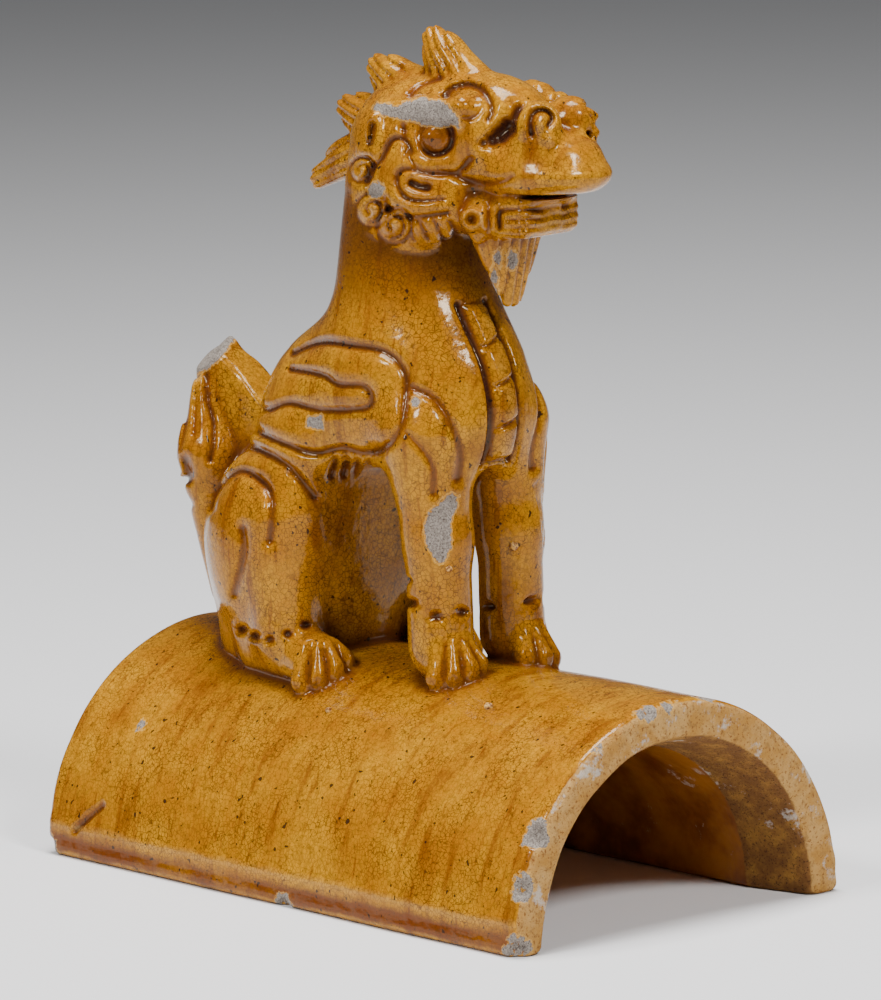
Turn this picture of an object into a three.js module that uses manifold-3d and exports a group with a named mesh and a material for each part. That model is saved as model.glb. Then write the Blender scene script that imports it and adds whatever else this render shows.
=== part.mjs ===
// A glazed ridge tile with a seated beast, in millimetres. +X is the way the beast faces, along the tile,
// +Y its left side and +Z up. The origin is in the middle of the plane that the tile's two edges stand on.
// The beast was luted to the wet tile and fired with it, so both are one solid.
import * as THREE from "three";
import Module from "manifold-3d";

// The half-round tile.
const TILE_LENGTH = 242;
const TILE_WIDTH = 150;
const TILE_HEIGHT = 76;
const WALL = 19;
const FRONT_LIP_WALL = 13;
const FRONT_BEVEL = 26;
const ARCH_SEGMENTS = 36;

// The beast's clay is cut this far below the tile's skin, where the two are luted together.
const LUTE_DEPTH = 4;

// The beast is sampled on a grid of this cell and then thinned to this many triangles.
const CELL = 1.5;
const BLOCK = 6;
const BEAST_TRIANGLES = 9200;

// The box that holds all of the beast's clay.
const BEAST_LOW = [-124, -62, 56];
const BEAST_HIGH = [92, 62, 300];

const wasm = await Module();
wasm.setup();

// Distance fields. Each takes a point and gives about its distance to a form, negative inside it.
const clamp = (v, lo, hi) => Math.min(Math.max(v, lo), hi);
const mix = (a, b, t) => a + (b - a) * t;

function softMin(a, b, k) {
  const h = Math.max(k - Math.abs(a - b), 0) / k;
  return Math.min(a, b) - (h * h * k) / 4;
}

const softMax = (a, b, k) => -softMin(-a, -b, k);

function ellipsoid([cx, cy, cz], [rx, ry, rz]) {
  return (x, y, z) => {
    const [u, v, w] = [(x - cx) / rx, (y - cy) / ry, (z - cz) / rz];
    const inner = Math.hypot(u, v, w);
    const slope = Math.hypot(u / rx, v / ry, w / rz);
    return slope < 1e-9 ? -Math.min(rx, ry, rz) : (inner * (inner - 1)) / slope;
  };
}

// A round limb from a to b, whose radius runs from ra to rb.
function limb([ax, ay, az], [bx, by, bz], ra, rb) {
  const [dx, dy, dz] = [bx - ax, by - ay, bz - az];
  const square = dx * dx + dy * dy + dz * dz;
  return (x, y, z) => {
    const t = clamp(((x - ax) * dx + (y - ay) * dy + (z - az) * dz) / square, 0, 1);
    return Math.hypot(x - ax - dx * t, y - ay - dy * t, z - az - dz * t) - mix(ra, rb, t);
  };
}

function block([cx, cy, cz], [hx, hy, hz], round) {
  return (x, y, z) => {
    const qx = Math.abs(x - cx) - hx + round;
    const qy = Math.abs(y - cy) - hy + round;
    const qz = Math.abs(z - cz) - hz + round;
    const outside = Math.hypot(Math.max(qx, 0), Math.max(qy, 0), Math.max(qz, 0));
    return outside + Math.min(Math.max(qx, qy, qz), 0) - round;
  };
}

const blend = (k, ...forms) => (x, y, z) => forms.reduce((d, form) => softMin(d, form(x, y, z), k), 1e3);

// A point's place across a line in the x, z plane, counted in ribs, for tufts and strands of hair.
function across([ax, az], [bx, bz], pitch) {
  const length = Math.hypot(bx - ax, bz - az);
  return (x, z) => ((x - ax) * (bz - az) - (z - az) * (bx - ax)) / length / pitch;
}

// 1 on a line, falling to 0 at a half width from it.
function near(distance, halfWidth) {
  const t = clamp(1 - Math.abs(distance) / halfWidth, 0, 1);
  return t * t * (3 - 2 * t);
}

const above = (v, edge, soft) => clamp((v - edge) / soft, 0, 1);

// The torso runs from the chest down to the rump.
const chest = ellipsoid([5, 0, 163], [34, 28, 33]);
const back = ellipsoid([-29, 0, 156], [42, 34, 36]);
const loin = limb([-41, 0, 130], [-61, 0, 110], 37, 36);
const seat = limb([-61, 0, 110], [-62, 0, 80], 35, 33);
const rump = blend(12, loin, seat);
const neck = limb([-6, 0, 180], [-9, 0, 236], 29, 22);

// Between the legs the belly is hollowed out.
function torso(x, y, z) {
  const hollow = softMax(z - 143, -26 - x, 12);
  return softMax(blend(14, chest, back, rump)(x, y, z), -hollow, 8);
}

const haunch = ellipsoid([-56, -25, 111], [23, 19, 34]);
const shin = limb([-42, -30, 122], [-41, -31, 84], 12.5, 11);
const heel = limb([-58, -27, 79], [-42, -30, 79], 9, 10);
const hindLeg = blend(6, shin, heel);
const upperArm = limb([17, -17, 156], [21, -16.5, 120], 16.5, 11);
const forearm = limb([21, -16.5, 120], [22, -16.5, 84], 11, 11.3);
const foreleg = blend(6, upperArm, forearm);

// The beast's forms are placed for a tile whose crown is at this height, and rise with the tile's own height.
const CROWN = 76;
const LIFT = TILE_HEIGHT - CROWN;
const tileTop = (y) => CROWN - TILE_HEIGHT * (1 - Math.sqrt(Math.max(1 - (y / (TILE_WIDTH / 2)) ** 2, 0)));

// Each paw has four toes, spread evenly round its middle from the outside, with a gap cut between each two.
const TOE_RADIUS = 3.9;
const TOE_SPREAD = 38;

function paw([cx, cy, cz], radius, reach, firstToe) {
  const ray = (step, length, z) => {
    const a = THREE.MathUtils.degToRad(firstToe + TOE_SPREAD * step);
    const [x, y] = [cx + Math.cos(a) * length, cy + Math.sin(a) * length];
    return [x, y, z ?? tileTop(y)];
  };
  const pad = limb([cx - 3, cy, cz], [cx + 1, cy, tileTop(cy) + 2], radius, radius);
  const tip = (step) => raise(ray(step, reach), 3.5);
  const toe = (step) => limb(ray(step, reach * 0.5, cz + 4), tip(step), TOE_RADIUS, TOE_RADIUS);
  const gap = (step) => limb(ray(step, reach * 0.9, cz + 7), raise(ray(step, reach + TOE_RADIUS), 1), 0, 0);
  const spread = blend(1.2, ...[0, 1, 2, 3].map(toe));
  const between = blend(1, ...[0.5, 1.5, 2.5].map(gap));
  return (x, y, z) => softMin(pad(x, y, z), spread(x, y, z), 2) + 2 * near(between(x, y, z), 2.6);
}

const raise = ([x, y, z], by) => [x, y, z + by];
const forePaw = paw([27.5, -17, 80], 9, 9, -76);
const hindSole = limb([-56, -27, 74], [-30, -30, 75], 9, 9.5);
const hindPaw = blend(2.5, paw([-26, -30, 75], 9, 9, -80), hindSole);

// The tail stands up behind: a slab that runs into the back, its top broken off, with a leaf on its right.
const tailRoot = limb([-92, 0, 84], [-101, 0, 130], 15, 16);
const tailTop = limb([-101, 0, 130], [-105, 0, 172], 16, 12);
const tailSlab = blend(8, tailRoot, tailTop);
const tailWeb = limb([-84, 0, 120], [-90, 0, 166], 16, 13);
const leafStem = limb([-93, -9, 90], [-104, -10, 136], 9, 12);
const leafTip = limb([-104, -10, 136], [-107, -10, 158], 12, 6);
const tailLeaf = blend(6, leafStem, leafTip);
const TAIL_PEAK = [-106, 3, 177];
const TAIL_BREAK_NORMAL = new THREE.Vector3(-0.4, -0.55, 0.73).normalize();
const TAIL_EDGE_NORMAL = new THREE.Vector3(0.65, 0, 0.76).normalize();
const TAIL_STRAND = 7;
const TAIL_FLATNESS = 1.8;

function tail(x, y, z) {
  const slab = softMin(tailSlab(x, (y + 3) * TAIL_FLATNESS, z), tailWeb(x, y * TAIL_FLATNESS, z), 4);
  const strand = Math.cos(2 * Math.PI * across([-96, 96], [-109, 160], TAIL_STRAND)(x, z));
  const leaf = tailLeaf(x, y, z) + 0.8 * (1 + strand) * above(z, 112, 10) * above(-y, 8, 4);
  const from = new THREE.Vector3(x - TAIL_PEAK[0], y - TAIL_PEAK[1], z - TAIL_PEAK[2]);
  const d = softMax(softMin(slab, leaf, 1.5), from.dot(TAIL_BREAK_NORMAL), 0.8);
  return softMax(d, from.dot(TAIL_EDGE_NORMAL), 3);
}

// Carving on the body, the same on both sides. Lines are cut to this depth.
const CUT = 1.9;
const wing = limb([-58, 0, 160.5], [4, 0, 166.5], 10, 17.5);
const wingSlot = limb([-60, 0, 162], [-3, 0, 167.5], 3.5, 6.5);
const haunchRim = ellipsoid([-55, 0, 112], [34, 1e3, 35]);
const haunchInner = ellipsoid([-56, 0, 112], [22, 1e3, 26]);
const shoulderRim = ellipsoid([-9, 0, 147], [18, 1e3, 24]);
const shoulderInner = ellipsoid([-10, 0, 139], [11, 1e3, 19]);
const shinFold = limb([-46, 0, 121], [-56, 0, 94], 0, 0);

// The pits round the ankles are placed across and up as seen from the right and front, at the quarter view.
const quarterAcross = (x, y, z) => 0.674 * x + 0.739 * y - 0.012 * z;
const quarterUp = (x, y, z) => -0.111 * x + 0.117 * y + 0.987 * z;
const HIND_PITS = [[-67, 83], [-62, 81], [-57, 80], [-51, 82], [-45, 85]];
const FORE_PITS = [[-10, 101], [-8, 93], [0, 88], [9, 90]];
const PIT_RADIUS = 3;
const ANKLE_TOP = 108;

// The chest band: its half width, ends and the joints between its plates.
const BAND = { half: 4.8, top: 200, bottom: 147, joints: [187, 174, 160] };

function bodyCarving(x, y, z) {
  let cut = near(wing(x, 0, z), 3) * above(x, -74, 6);
  const slot = near(wingSlot(x, 0, z), 2.6) * above(x, -74, 6);
  cut = Math.max(cut, slot) * above(-y, 12, 6);
  if (wing(x, 0, z) < 0) cut -= 0.5 * above(-y, 14, 6) * above(-wing(x, 0, z), 0, 3);
  const quarter = quarterAcross(x, y, 0);
  const shoulder = near(shoulderRim(quarter, 0, z), 2.6) * above(quarter, -10, 3) * above(z, 138, 5);
  const second = near(shoulderInner(quarter, 0, z), 2.2) * above(quarter, -11, 3) * above(z, 134, 5);
  cut = Math.max(cut, above(x, 8, 6) * Math.max(shoulder, second * 0.8));
  const low = above(-y, 22, 6) * above(z, 118, 4) * above(147 - z, 0, 2);
  cut = Math.max(cut, low * near(haunchRim(x, 0, z), 2.8) * above(-29 - x, 0, 3));
  cut = Math.max(cut, above(-y, 26, 4) * above(z, 112, 4) * near(haunchInner(x, 0, z), 2.6));
  cut = Math.max(cut, above(-y, 34, 4) * near(shinFold(x, 0, z), 3.4));
  if (z > ANKLE_TOP) return CUT * cut;
  const [a, b] = [quarterAcross(x, y, z), quarterUp(x, y, z)];
  for (const [pa, pb] of [...HIND_PITS, ...FORE_PITS]) {
    const pit = near(Math.hypot(a - pa, b - pb), PIT_RADIUS);
    cut = Math.max(cut, 1.2 * pit * above(-y, 10, 6));
  }
  return CUT * cut;
}

function bandCarving(x, y, z) {
  const within = above(x, 8, 6) * above(z, BAND.bottom - 3, 3) * above(BAND.top + 1 - z, 0, 2);
  if (within === 0) return 0;
  const side = near(Math.abs(y) - BAND.half - 1.3, 2.1) * 1.4;
  const flat = Math.abs(y) < BAND.half ? 1 : 0;
  const ends = Math.min(Math.abs(z - BAND.top), Math.abs(z - BAND.bottom));
  const joint = Math.min(...BAND.joints.map((at) => Math.abs(z - at)));
  const plates = flat * Math.max(0.6 * near(joint, 2), near(ends, 2.2));
  return CUT * within * (Math.max(side, plates) - 0.45 * flat);
}

function body(x, y, z) {
  const side = -Math.abs(y);
  let d = softMin(torso(x, y, z), neck(x, y, z), 14);
  d = softMin(d, haunch(x, side, z), 6);
  d = softMin(d, hindLeg(x, side, z), 6);
  d = softMin(d, foreleg(x, side, z), 8);
  if (Math.abs(d) < 8) d += bodyCarving(x, side, z) + bandCarving(x, y, z);
  d = softMin(d, hindPaw(x, side, z), 2.5);
  d = softMin(d, forePaw(x, side, z), 2.5);
  return softMin(d, tail(x, y, z), 3);
}

// The head, in a frame of its own: its origin is where the neck enters, and it is turned a little left.
const HEAD_AT = [-8, 0, 240];
const HEAD_TURN = THREE.MathUtils.degToRad(8);

const skull = ellipsoid([7, 0, 11], [28, 24, 25]);
const forehead = ellipsoid([31.5, 0, 20], [28, 19, 17.8]);
const muzzle = block([44, 0, 8.5], [25, 16.5, 12], 10);
const nose = ellipsoid([60, -8.5, 18.5], [10, 8, 9]);
const upperLip = ellipsoid([60, 0, 5.5], [22.5, 18.5, 8.6]);
const philtrum = ellipsoid([63, 0, 11.5], [16, 14, 8.5]);
const jaw = block([37, 0, -9], [25, 15.5, 7], 4);
const jowl = ellipsoid([15, -15, 1], [20, 12, 16]);
const hairRoll = ellipsoid([15, -17, -6], [22, 10.5, 14.5]);
const wideBeard = limb([41, 0, -10], [42.5, 0, -37.5], 10, 4);
const BEARD_NARROWING = 0.48;
const BEARD_STRAND = 5.2;

// The mouth's slit between lip and jaw, cut in as far as this core.
const SLIT = { at: -1.5, half: 1.1, from: 34 };
const mouthCore = block([34, 0, 0], [23, 11, 12], 3);
const mouthLoop = limb([21.5, 0, 0.4], [33, 0, 0.2], 0, 0);
const cheek = limb([11, 0, 1], [28, 0, -2], 10.5, 9);
const EYE = [27.5, -17, 15.5];
const eyeBall = ellipsoid(EYE, [5.2, 6.3, 5.2]);
const browStump = limb([3, -17, 25], [34, -16.5, 26], 5, 6);
const BROW_BREAK = 21.5;
const browRoot = limb([6, -17, 27], [38, -17, 28], 5, 6);
const browTip = limb([38, -17, 28], [60, -13, 24], 6, 5.5);
const browFlame = blend(3, browRoot, browTip);
const noseCurl = [66.5, 19];
const browCurl = [35, 29];
const nosePit = limb([50, -16, 17], [57, -13, 25], 0, 0);
const fang = [39, -10.5];
const HAIR_CURLS = [[-3.5, 4.5, 4], [1, -9.5, 5], [10, -15, 5]];
const ear = ellipsoid([2.5, -22, 17.5], [3.4, 4, 7]);
const earHollow = ellipsoid([3, -26, 17.5], [1.8, 4, 5]);

// Four ribbed tufts stand on the middle of the crown and nape: base, middle, tip, and radii at base and tip.
const RIB = 4.6;
const TUFTS = [
  { base: [22, 33], mid: [15, 42], tip: [10.5, 47.5], radii: [12, 5] },
  { base: [2, 28], mid: [-8, 33], tip: [-14, 36.5], radii: [11, 5.2] },
  { base: [-13, 17], mid: [-22, 20], tip: [-28, 22], radii: [10, 5] },
  { base: [-14, 8], mid: [-28, 5], tip: [-41, -3], radii: [11, 4.5] },
];
const TUFT_NARROWING = 1.5;

function tuft({ base, mid, tip, radii: [rb, rt] }) {
  const flat = ([x, z]) => [x, 0, z];
  const lower = limb(flat(base), flat(mid), rb, (rb + rt) / 2);
  const upper = limb(flat(mid), flat(tip), (rb + rt) / 2, rt);
  const ribs = across(base, tip, RIB);
  return (x, y, z) => {
    const d = softMin(lower(x, y * TUFT_NARROWING, z), upper(x, y * TUFT_NARROWING, z), 3);
    return Math.abs(d) > 6 ? d : d + 0.7 * (1 + Math.cos(2 * Math.PI * ribs(x, z)));
  };
}

const tufts = TUFTS.map(tuft);

// A curl seen from the side: a boss, a cut round it and an outer roll.
function curl(x, z, [cx, cz], r) {
  const out = Math.hypot(x - cx, z - cz);
  return near(out - r * 0.62, r * 0.3) - 0.8 * near(out, r * 0.5) - 0.6 * near(out - r, r * 0.35);
}

function headCarving(x, y, z) {
  let cut = 0;
  const side = above(-y, 10, 4);
  const loop = mouthLoop(x, 0, z);
  const short = above(34 - x, 0, 2) * side;
  cut += short * (near(loop - 5.2, 2.2) - 0.5 * near(loop - 2.9, 2) + 1.4 * near(loop, 2.2));
  const rim = cheek(x, 0, z);
  cut += side * near(rim, 2) * above(27 - x, 0, 2) * above(8 - z, 0, 2);
  const around = Math.hypot(x - EYE[0], z - EYE[2]);
  cut += side * (near(around - 6.1, 2) - near(around - 8.8, 2.4) * above(EYE[2] + 3 - z, 0, 3));
  cut += side * curl(x, z, noseCurl, 6.8) * above(x, 50, 4);
  cut += above(-y, 5, 4) * curl(x, z, browCurl, 8.5) * above(z, 21, 3);
  cut += 2.4 * near(nosePit(x, y, z), 5);
  for (const [cx, cz, r] of HAIR_CURLS)
    if (Math.hypot(x - cx, z - cz) < 1.4 * r) cut += side * curl(x, z, [cx, cz], r);
  const hair = above(x, 14, 1) * above(30 - x, 0, 1) * above(-11 - z, 0, 1) * above(z, -18, 1);
  cut += 0.7 * hair * side * (0.5 + 0.5 * Math.cos((2 * Math.PI * (x - 0.3 * z)) / 4.2));
  const chin = above(x, 43, 3) * above(-4 - z, 0, 1) * above(z, -16, 1);
  cut += 0.55 * chin * (0.5 + 0.5 * Math.cos((2 * Math.PI * (z + 8)) / 3.6));
  const root = Math.hypot(x - fang[0], z - fang[1]);
  cut += side * (near(root, 1.8) - 0.7 * near(root - 3, 1.8)) * above(44 - x, 0, 2);
  return 1.5 * cut;
}

function headForm(x, y, z) {
  const side = -Math.abs(y);
  let d = softMin(skull(x, y, z), forehead(x, y, z), 8);
  d = softMin(d, muzzle(x, y, z), 8);
  d = softMin(d, nose(x, side, z), 3.5);
  d = softMin(d, upperLip(x, y, z), 5);
  d = softMin(d, philtrum(x, y, z), 4);
  d = softMin(d, jowl(x, side, z), 6);
  d = softMin(d, hairRoll(x, side, z), 4);
  d = softMin(d, jaw(x, y, z), 3);
  const slit = Math.max(Math.abs(z - SLIT.at) - SLIT.half, -mouthCore(x, y, z), SLIT.from - x);
  d = softMax(d, -slit, 1.5);
  const strand = 0.5 + 0.5 * Math.cos((2 * Math.PI * y) / BEARD_STRAND);
  d = softMin(d, wideBeard(x, y * BEARD_NARROWING, z) + strand * above(-15 - z, 0, 3), 2);
  if (y < 0) d = softMin(d, Math.max(browStump(x, y, z), -y - BROW_BREAK), 2);
  else d = softMin(d, browFlame(x, side, z) + 0.6 * (1 + Math.cos((2 * Math.PI * (x + z)) / RIB)), 2);
  d = softMin(d, softMax(ear(x, side, z), -earHollow(x, side, z), 1), 1.5);
  if (Math.abs(d) < 8) d += headCarving(x, side, z);
  d = softMin(d, eyeBall(x, side, z), 0.8);
  for (const one of tufts) d = softMin(d, one(x, y, z), 2.5);
  return d;
}

function head(x, y, z) {
  const [dx, dy] = [x - HEAD_AT[0], y - HEAD_AT[1]];
  const [c, s] = [Math.cos(HEAD_TURN), Math.sin(HEAD_TURN)];
  return headForm(dx * c + dy * s, -dx * s + dy * c, z - HEAD_AT[2]);
}

// Clay below the tile's skin by more than the lute depth is cut away.
function tileSkin(y, z) {
  const [u, w] = [y / (TILE_WIDTH / 2), z / TILE_HEIGHT];
  const inner = Math.hypot(u, w);
  return (inner * (inner - 1)) / Math.hypot(u / (TILE_WIDTH / 2), w / TILE_HEIGHT);
}

function beast(x, y, z) {
  const up = z - LIFT;
  const lower = up < 225 ? body(x, y, up) : neck(x, y, up);
  const d = up < 185 ? lower : softMin(lower, head(x, y, up), 5);
  return Math.max(d, -(tileSkin(y, z) + LUTE_DEPTH));
}

// Samples a field in a box and walls it with triangles, six tetrahedra to each cell.
function polygonise(field, [x0, y0, z0], [x1, y1, z1], cell) {
  const [nx, ny, nz] = [x1 - x0, y1 - y0, z1 - z0].map((span) => Math.ceil(span / cell) + 1);
  const values = new Float32Array(nx * ny * nz);
  const at = (i, j, k) => (i * ny + j) * nz + k;
  const sample = (i, j, k) => field(x0 + i * cell, y0 + j * cell, z0 + k * cell);
  const reach = BLOCK * cell * 1.3;
  for (let i = 0; i < nx; i += BLOCK)
    for (let j = 0; j < ny; j += BLOCK)
      for (let k = 0; k < nz; k += BLOCK) {
        const middle = sample(i + BLOCK / 2, j + BLOCK / 2, k + BLOCK / 2);
        for (let u = i; u < Math.min(i + BLOCK, nx); u++)
          for (let v = j; v < Math.min(j + BLOCK, ny); v++)
            for (let w = k; w < Math.min(k + BLOCK, nz); w++)
              values[at(u, v, w)] = Math.abs(middle) > reach ? middle : sample(u, v, w);
      }

  const positions = [];
  const triangles = [];
  const known = new Map();
  const place = (id) => {
    const k = id % nz;
    const j = Math.floor(id / nz) % ny;
    return [x0 + Math.floor(id / (nz * ny)) * cell, y0 + j * cell, z0 + k * cell];
  };
  const crossing = (a, b) => {
    const key = Math.min(a, b) * values.length + Math.max(a, b);
    if (known.has(key)) return known.get(key);
    const t = clamp(values[a] / (values[a] - values[b]), 0.04, 0.96);
    const [p, q] = [place(a), place(b)];
    positions.push(mix(p[0], q[0], t), mix(p[1], q[1], t), mix(p[2], q[2], t));
    known.set(key, positions.length / 3 - 1);
    return positions.length / 3 - 1;
  };
  const corners = [0, 1, 2, 3, 4, 5, 6, 7].map((n) => at(n & 1, (n >> 1) & 1, (n >> 2) & 1));
  const tetrahedra = [[1, 3], [3, 2], [2, 6], [6, 4], [4, 5], [5, 1]].map(([p, q]) => [0, p, q, 7]);
  const wall = (a, b, c) => triangles.push(a, b, c);
  for (let i = 0; i + 1 < nx; i++)
    for (let j = 0; j + 1 < ny; j++)
      for (let k = 0; k + 1 < nz; k++) {
        const base = at(i, j, k);
        let full = 0;
        for (const c of corners) full += values[base + c] < 0 ? 1 : 0;
        if (full === 0 || full === 8) continue;
        for (const tetra of tetrahedra) {
          const ids = tetra.map((n) => base + corners[n]);
          const inside = ids.filter((id) => values[id] < 0);
          const outside = ids.filter((id) => values[id] >= 0);
          if (!inside.length || !outside.length) continue;
          const odd = parity(ids, inside, outside);
          if (inside.length === 2) {
            const [[a, b], [c, d]] = [inside, outside];
            const ring = [crossing(a, c), crossing(a, d), crossing(b, d), crossing(b, c)];
            if (odd) ring.reverse();
            wall(ring[0], ring[1], ring[2]);
            wall(ring[0], ring[2], ring[3]);
          } else {
            const one = inside.length === 1;
            const ring = (one ? outside : inside).map((id) => crossing(one ? inside[0] : outside[0], id));
            if (odd) ring.reverse();
            wall(ring[0], ring[1], ring[2]);
          }
        }
      }
  return { positions, triangles };
}

// Whether the order inside, outside is an odd shuffle of a tetrahedron's corners.
function parity(ids, inside, outside) {
  const order = [...inside, ...outside].map((id) => ids.indexOf(id));
  let swaps = 0;
  for (let i = 0; i < 4; i++) for (let j = i + 1; j < 4; j++) swaps += order[i] > order[j] ? 1 : 0;
  return swaps % 2 === 1;
}

// A heap of numbers, the one of least cost on top.
class Heap {
  ids = [];
  costs = [];

  push(id, cost) {
    const { ids, costs } = this;
    let i = ids.push(id) - 1;
    costs.push(cost);
    while (i > 0) {
      const up = (i - 1) >> 1;
      if (costs[up] <= cost) break;
      ids[i] = ids[up];
      costs[i] = costs[up];
      i = up;
    }
    ids[i] = id;
    costs[i] = cost;
  }

  pop() {
    const { ids, costs } = this;
    const top = ids[0];
    const [id, cost] = [ids.pop(), costs.pop()];
    if (!ids.length) return top;
    let i = 0;
    for (let down = 1; down < ids.length; down = 2 * i + 1) {
      if (down + 1 < ids.length && costs[down + 1] < costs[down]) down++;
      if (costs[down] >= cost) break;
      ids[i] = ids[down];
      costs[i] = costs[down];
      i = down;
    }
    ids[i] = id;
    costs[i] = cost;
    return top;
  }
}

// Thins a closed mesh: the edge whose loss moves the surface least goes first, down to the wanted number.
function thin({ positions, triangles }, wanted) {
  const points = Float64Array.from(positions);
  const faces = Int32Array.from(triangles);
  const count = points.length / 3;
  const around = Array.from({ length: count }, () => []);
  const quadrics = new Float64Array(count * 10);
  const normal = [0, 0, 0, 0];
  for (let f = 0; f < faces.length; f += 3) {
    facing(points, faces[f] * 3, points, faces[f + 1] * 3, points, faces[f + 2] * 3, normal);
    const [nx, ny, nz, area] = normal;
    const at = faces[f] * 3;
    const d = -(nx * points[at] + ny * points[at + 1] + nz * points[at + 2]);
    const q = [nx * nx, nx * ny, nx * nz, nx * d, ny * ny, ny * nz, ny * d, nz * nz, nz * d, d * d];
    for (let corner = f; corner < f + 3; corner++) {
      around[faces[corner]].push(f);
      for (let n = 0; n < 10; n++) quadrics[faces[corner] * 10 + n] += q[n] * area;
    }
  }

  const versions = new Int32Array(count);
  const heap = new Heap();
  const edges = [];
  const q = new Float64Array(10);
  const offer = (a, b) => {
    for (let n = 0; n < 10; n++) q[n] = quadrics[a * 10 + n] + quadrics[b * 10 + n];
    const [ax, ay, az] = [points[a * 3], points[a * 3 + 1], points[a * 3 + 2]];
    const [bx, by, bz] = [points[b * 3], points[b * 3 + 1], points[b * 3 + 2]];
    const square = (ax - bx) ** 2 + (ay - by) ** 2 + (az - bz) ** 2;
    const best = lowest(q, (ax + bx) / 2, (ay + by) / 2, (az + bz) / 2, square);
    heap.push(edges.length, error(q, best[0], best[1], best[2]) + 1e-4 * square);
    edges.push([a, b, best, versions[a], versions[b]]);
  };
  const marks = new Int32Array(count);
  let mark = 0;
  const neighbours = (v) => {
    mark++;
    const found = [];
    for (const f of around[v])
      for (let corner = f; corner < f + 3; corner++) {
        const other = faces[corner];
        if (other === v || marks[other] === mark) continue;
        marks[other] = mark;
        found.push(other);
      }
    return found;
  };
  for (let v = 0; v < count; v++) for (const other of neighbours(v)) if (other > v) offer(v, other);

  // Whether moving v would turn one of its faces over, or flatten it, the faces it shares with gone left out.
  const after = [0, 0, 0, 0];
  const turns = (v, gone, at) => {
    for (const f of around[v]) {
      const [a, b, c] = [faces[f], faces[f + 1], faces[f + 2]];
      if (a === gone || b === gone || c === gone) continue;
      facing(points, a * 3, points, b * 3, points, c * 3, normal);
      const [pa, pb, pc] = [a, b, c].map((n) => (n === v ? at : points));
      facing(pa, a === v ? 0 : a * 3, pb, b === v ? 0 : b * 3, pc, c === v ? 0 : c * 3, after);
      const turn = normal[0] * after[0] + normal[1] * after[1] + normal[2] * after[2];
      if (after[3] < 1e-3 || turn < 0.25) return true;
    }
    return false;
  };
  let left = faces.length / 3;
  while (left > wanted && heap.ids.length) {
    const [a, b, at, va, vb] = edges[heap.pop()];
    if (versions[a] !== va || versions[b] !== vb) continue;
    const ring = neighbours(a);
    neighbours(b);
    const shared = ring.filter((v) => marks[v] === mark).length;
    if (shared !== 2 || turns(a, b, at) || turns(b, a, at)) continue;
    for (const f of around[b]) {
      const corners = [faces[f], faces[f + 1], faces[f + 2]];
      if (corners.includes(a)) {
        for (const v of corners) if (v !== b) around[v].splice(around[v].indexOf(f), 1);
        faces[f] = -1;
        left--;
      } else {
        faces[f + corners.indexOf(b)] = a;
        around[a].push(f);
      }
    }
    around[b] = [];
    points.set(at, a * 3);
    versions[a]++;
    versions[b]++;
    for (let n = 0; n < 10; n++) quadrics[a * 10 + n] += quadrics[b * 10 + n];
    for (const other of neighbours(a)) offer(a, other);
  }
  return packed(points, faces);
}

// The points and faces still in use, numbered anew.
function packed(points, faces) {
  const numbers = new Map();
  const kept = { points: [], faces: [] };
  const number = (v) => {
    if (!numbers.has(v)) {
      numbers.set(v, kept.points.length);
      kept.points.push(Array.from(points.subarray(v * 3, v * 3 + 3)));
    }
    return numbers.get(v);
  };
  for (let f = 0; f < faces.length; f += 3)
    if (faces[f] >= 0) kept.faces.push([number(faces[f]), number(faces[f + 1]), number(faces[f + 2])]);
  return kept;
}

// Writes the unit normal and the area of the triangle on a, b and c, each an array and a place in it.
function facing(a, i, b, j, c, k, out) {
  const [ux, uy, uz] = [b[j] - a[i], b[j + 1] - a[i + 1], b[j + 2] - a[i + 2]];
  const [vx, vy, vz] = [c[k] - a[i], c[k + 1] - a[i + 1], c[k + 2] - a[i + 2]];
  const [nx, ny, nz] = [uy * vz - uz * vy, uz * vx - ux * vz, ux * vy - uy * vx];
  const length = Math.hypot(nx, ny, nz) || 1e-12;
  out[0] = nx / length;
  out[1] = ny / length;
  out[2] = nz / length;
  out[3] = length / 2;
}

function error(q, x, y, z) {
  const cross = x * (q[0] * x + 2 * (q[1] * y + q[2] * z + q[3])) + y * (q[4] * y + 2 * (q[5] * z + q[6]));
  return cross + z * (q[7] * z + 2 * q[8]) + q[9];
}

// The point of least error, if it is clear and lies near the edge's middle, or else the middle.
function lowest(q, x, y, z, square) {
  const [c0, c1, c2] = [q[4] * q[7] - q[5] ** 2, q[2] * q[5] - q[1] * q[7], q[1] * q[5] - q[2] * q[4]];
  const determinant = q[0] * c0 + q[1] * c1 + q[2] * c2;
  if (determinant < 1e-4 * (q[0] + q[4] + q[7]) ** 3) return [x, y, z];
  const [c4, c5, c8] = [q[0] * q[7] - q[2] ** 2, q[1] * q[2] - q[0] * q[5], q[0] * q[4] - q[1] ** 2];
  const best = [
    -(c0 * q[3] + c1 * q[6] + c2 * q[8]) / determinant,
    -(c1 * q[3] + c4 * q[6] + c5 * q[8]) / determinant,
    -(c2 * q[3] + c5 * q[6] + c8 * q[8]) / determinant,
  ];
  return (best[0] - x) ** 2 + (best[1] - y) ** 2 + (best[2] - z) ** 2 > 4 * square ? [x, y, z] : best;
}

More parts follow.
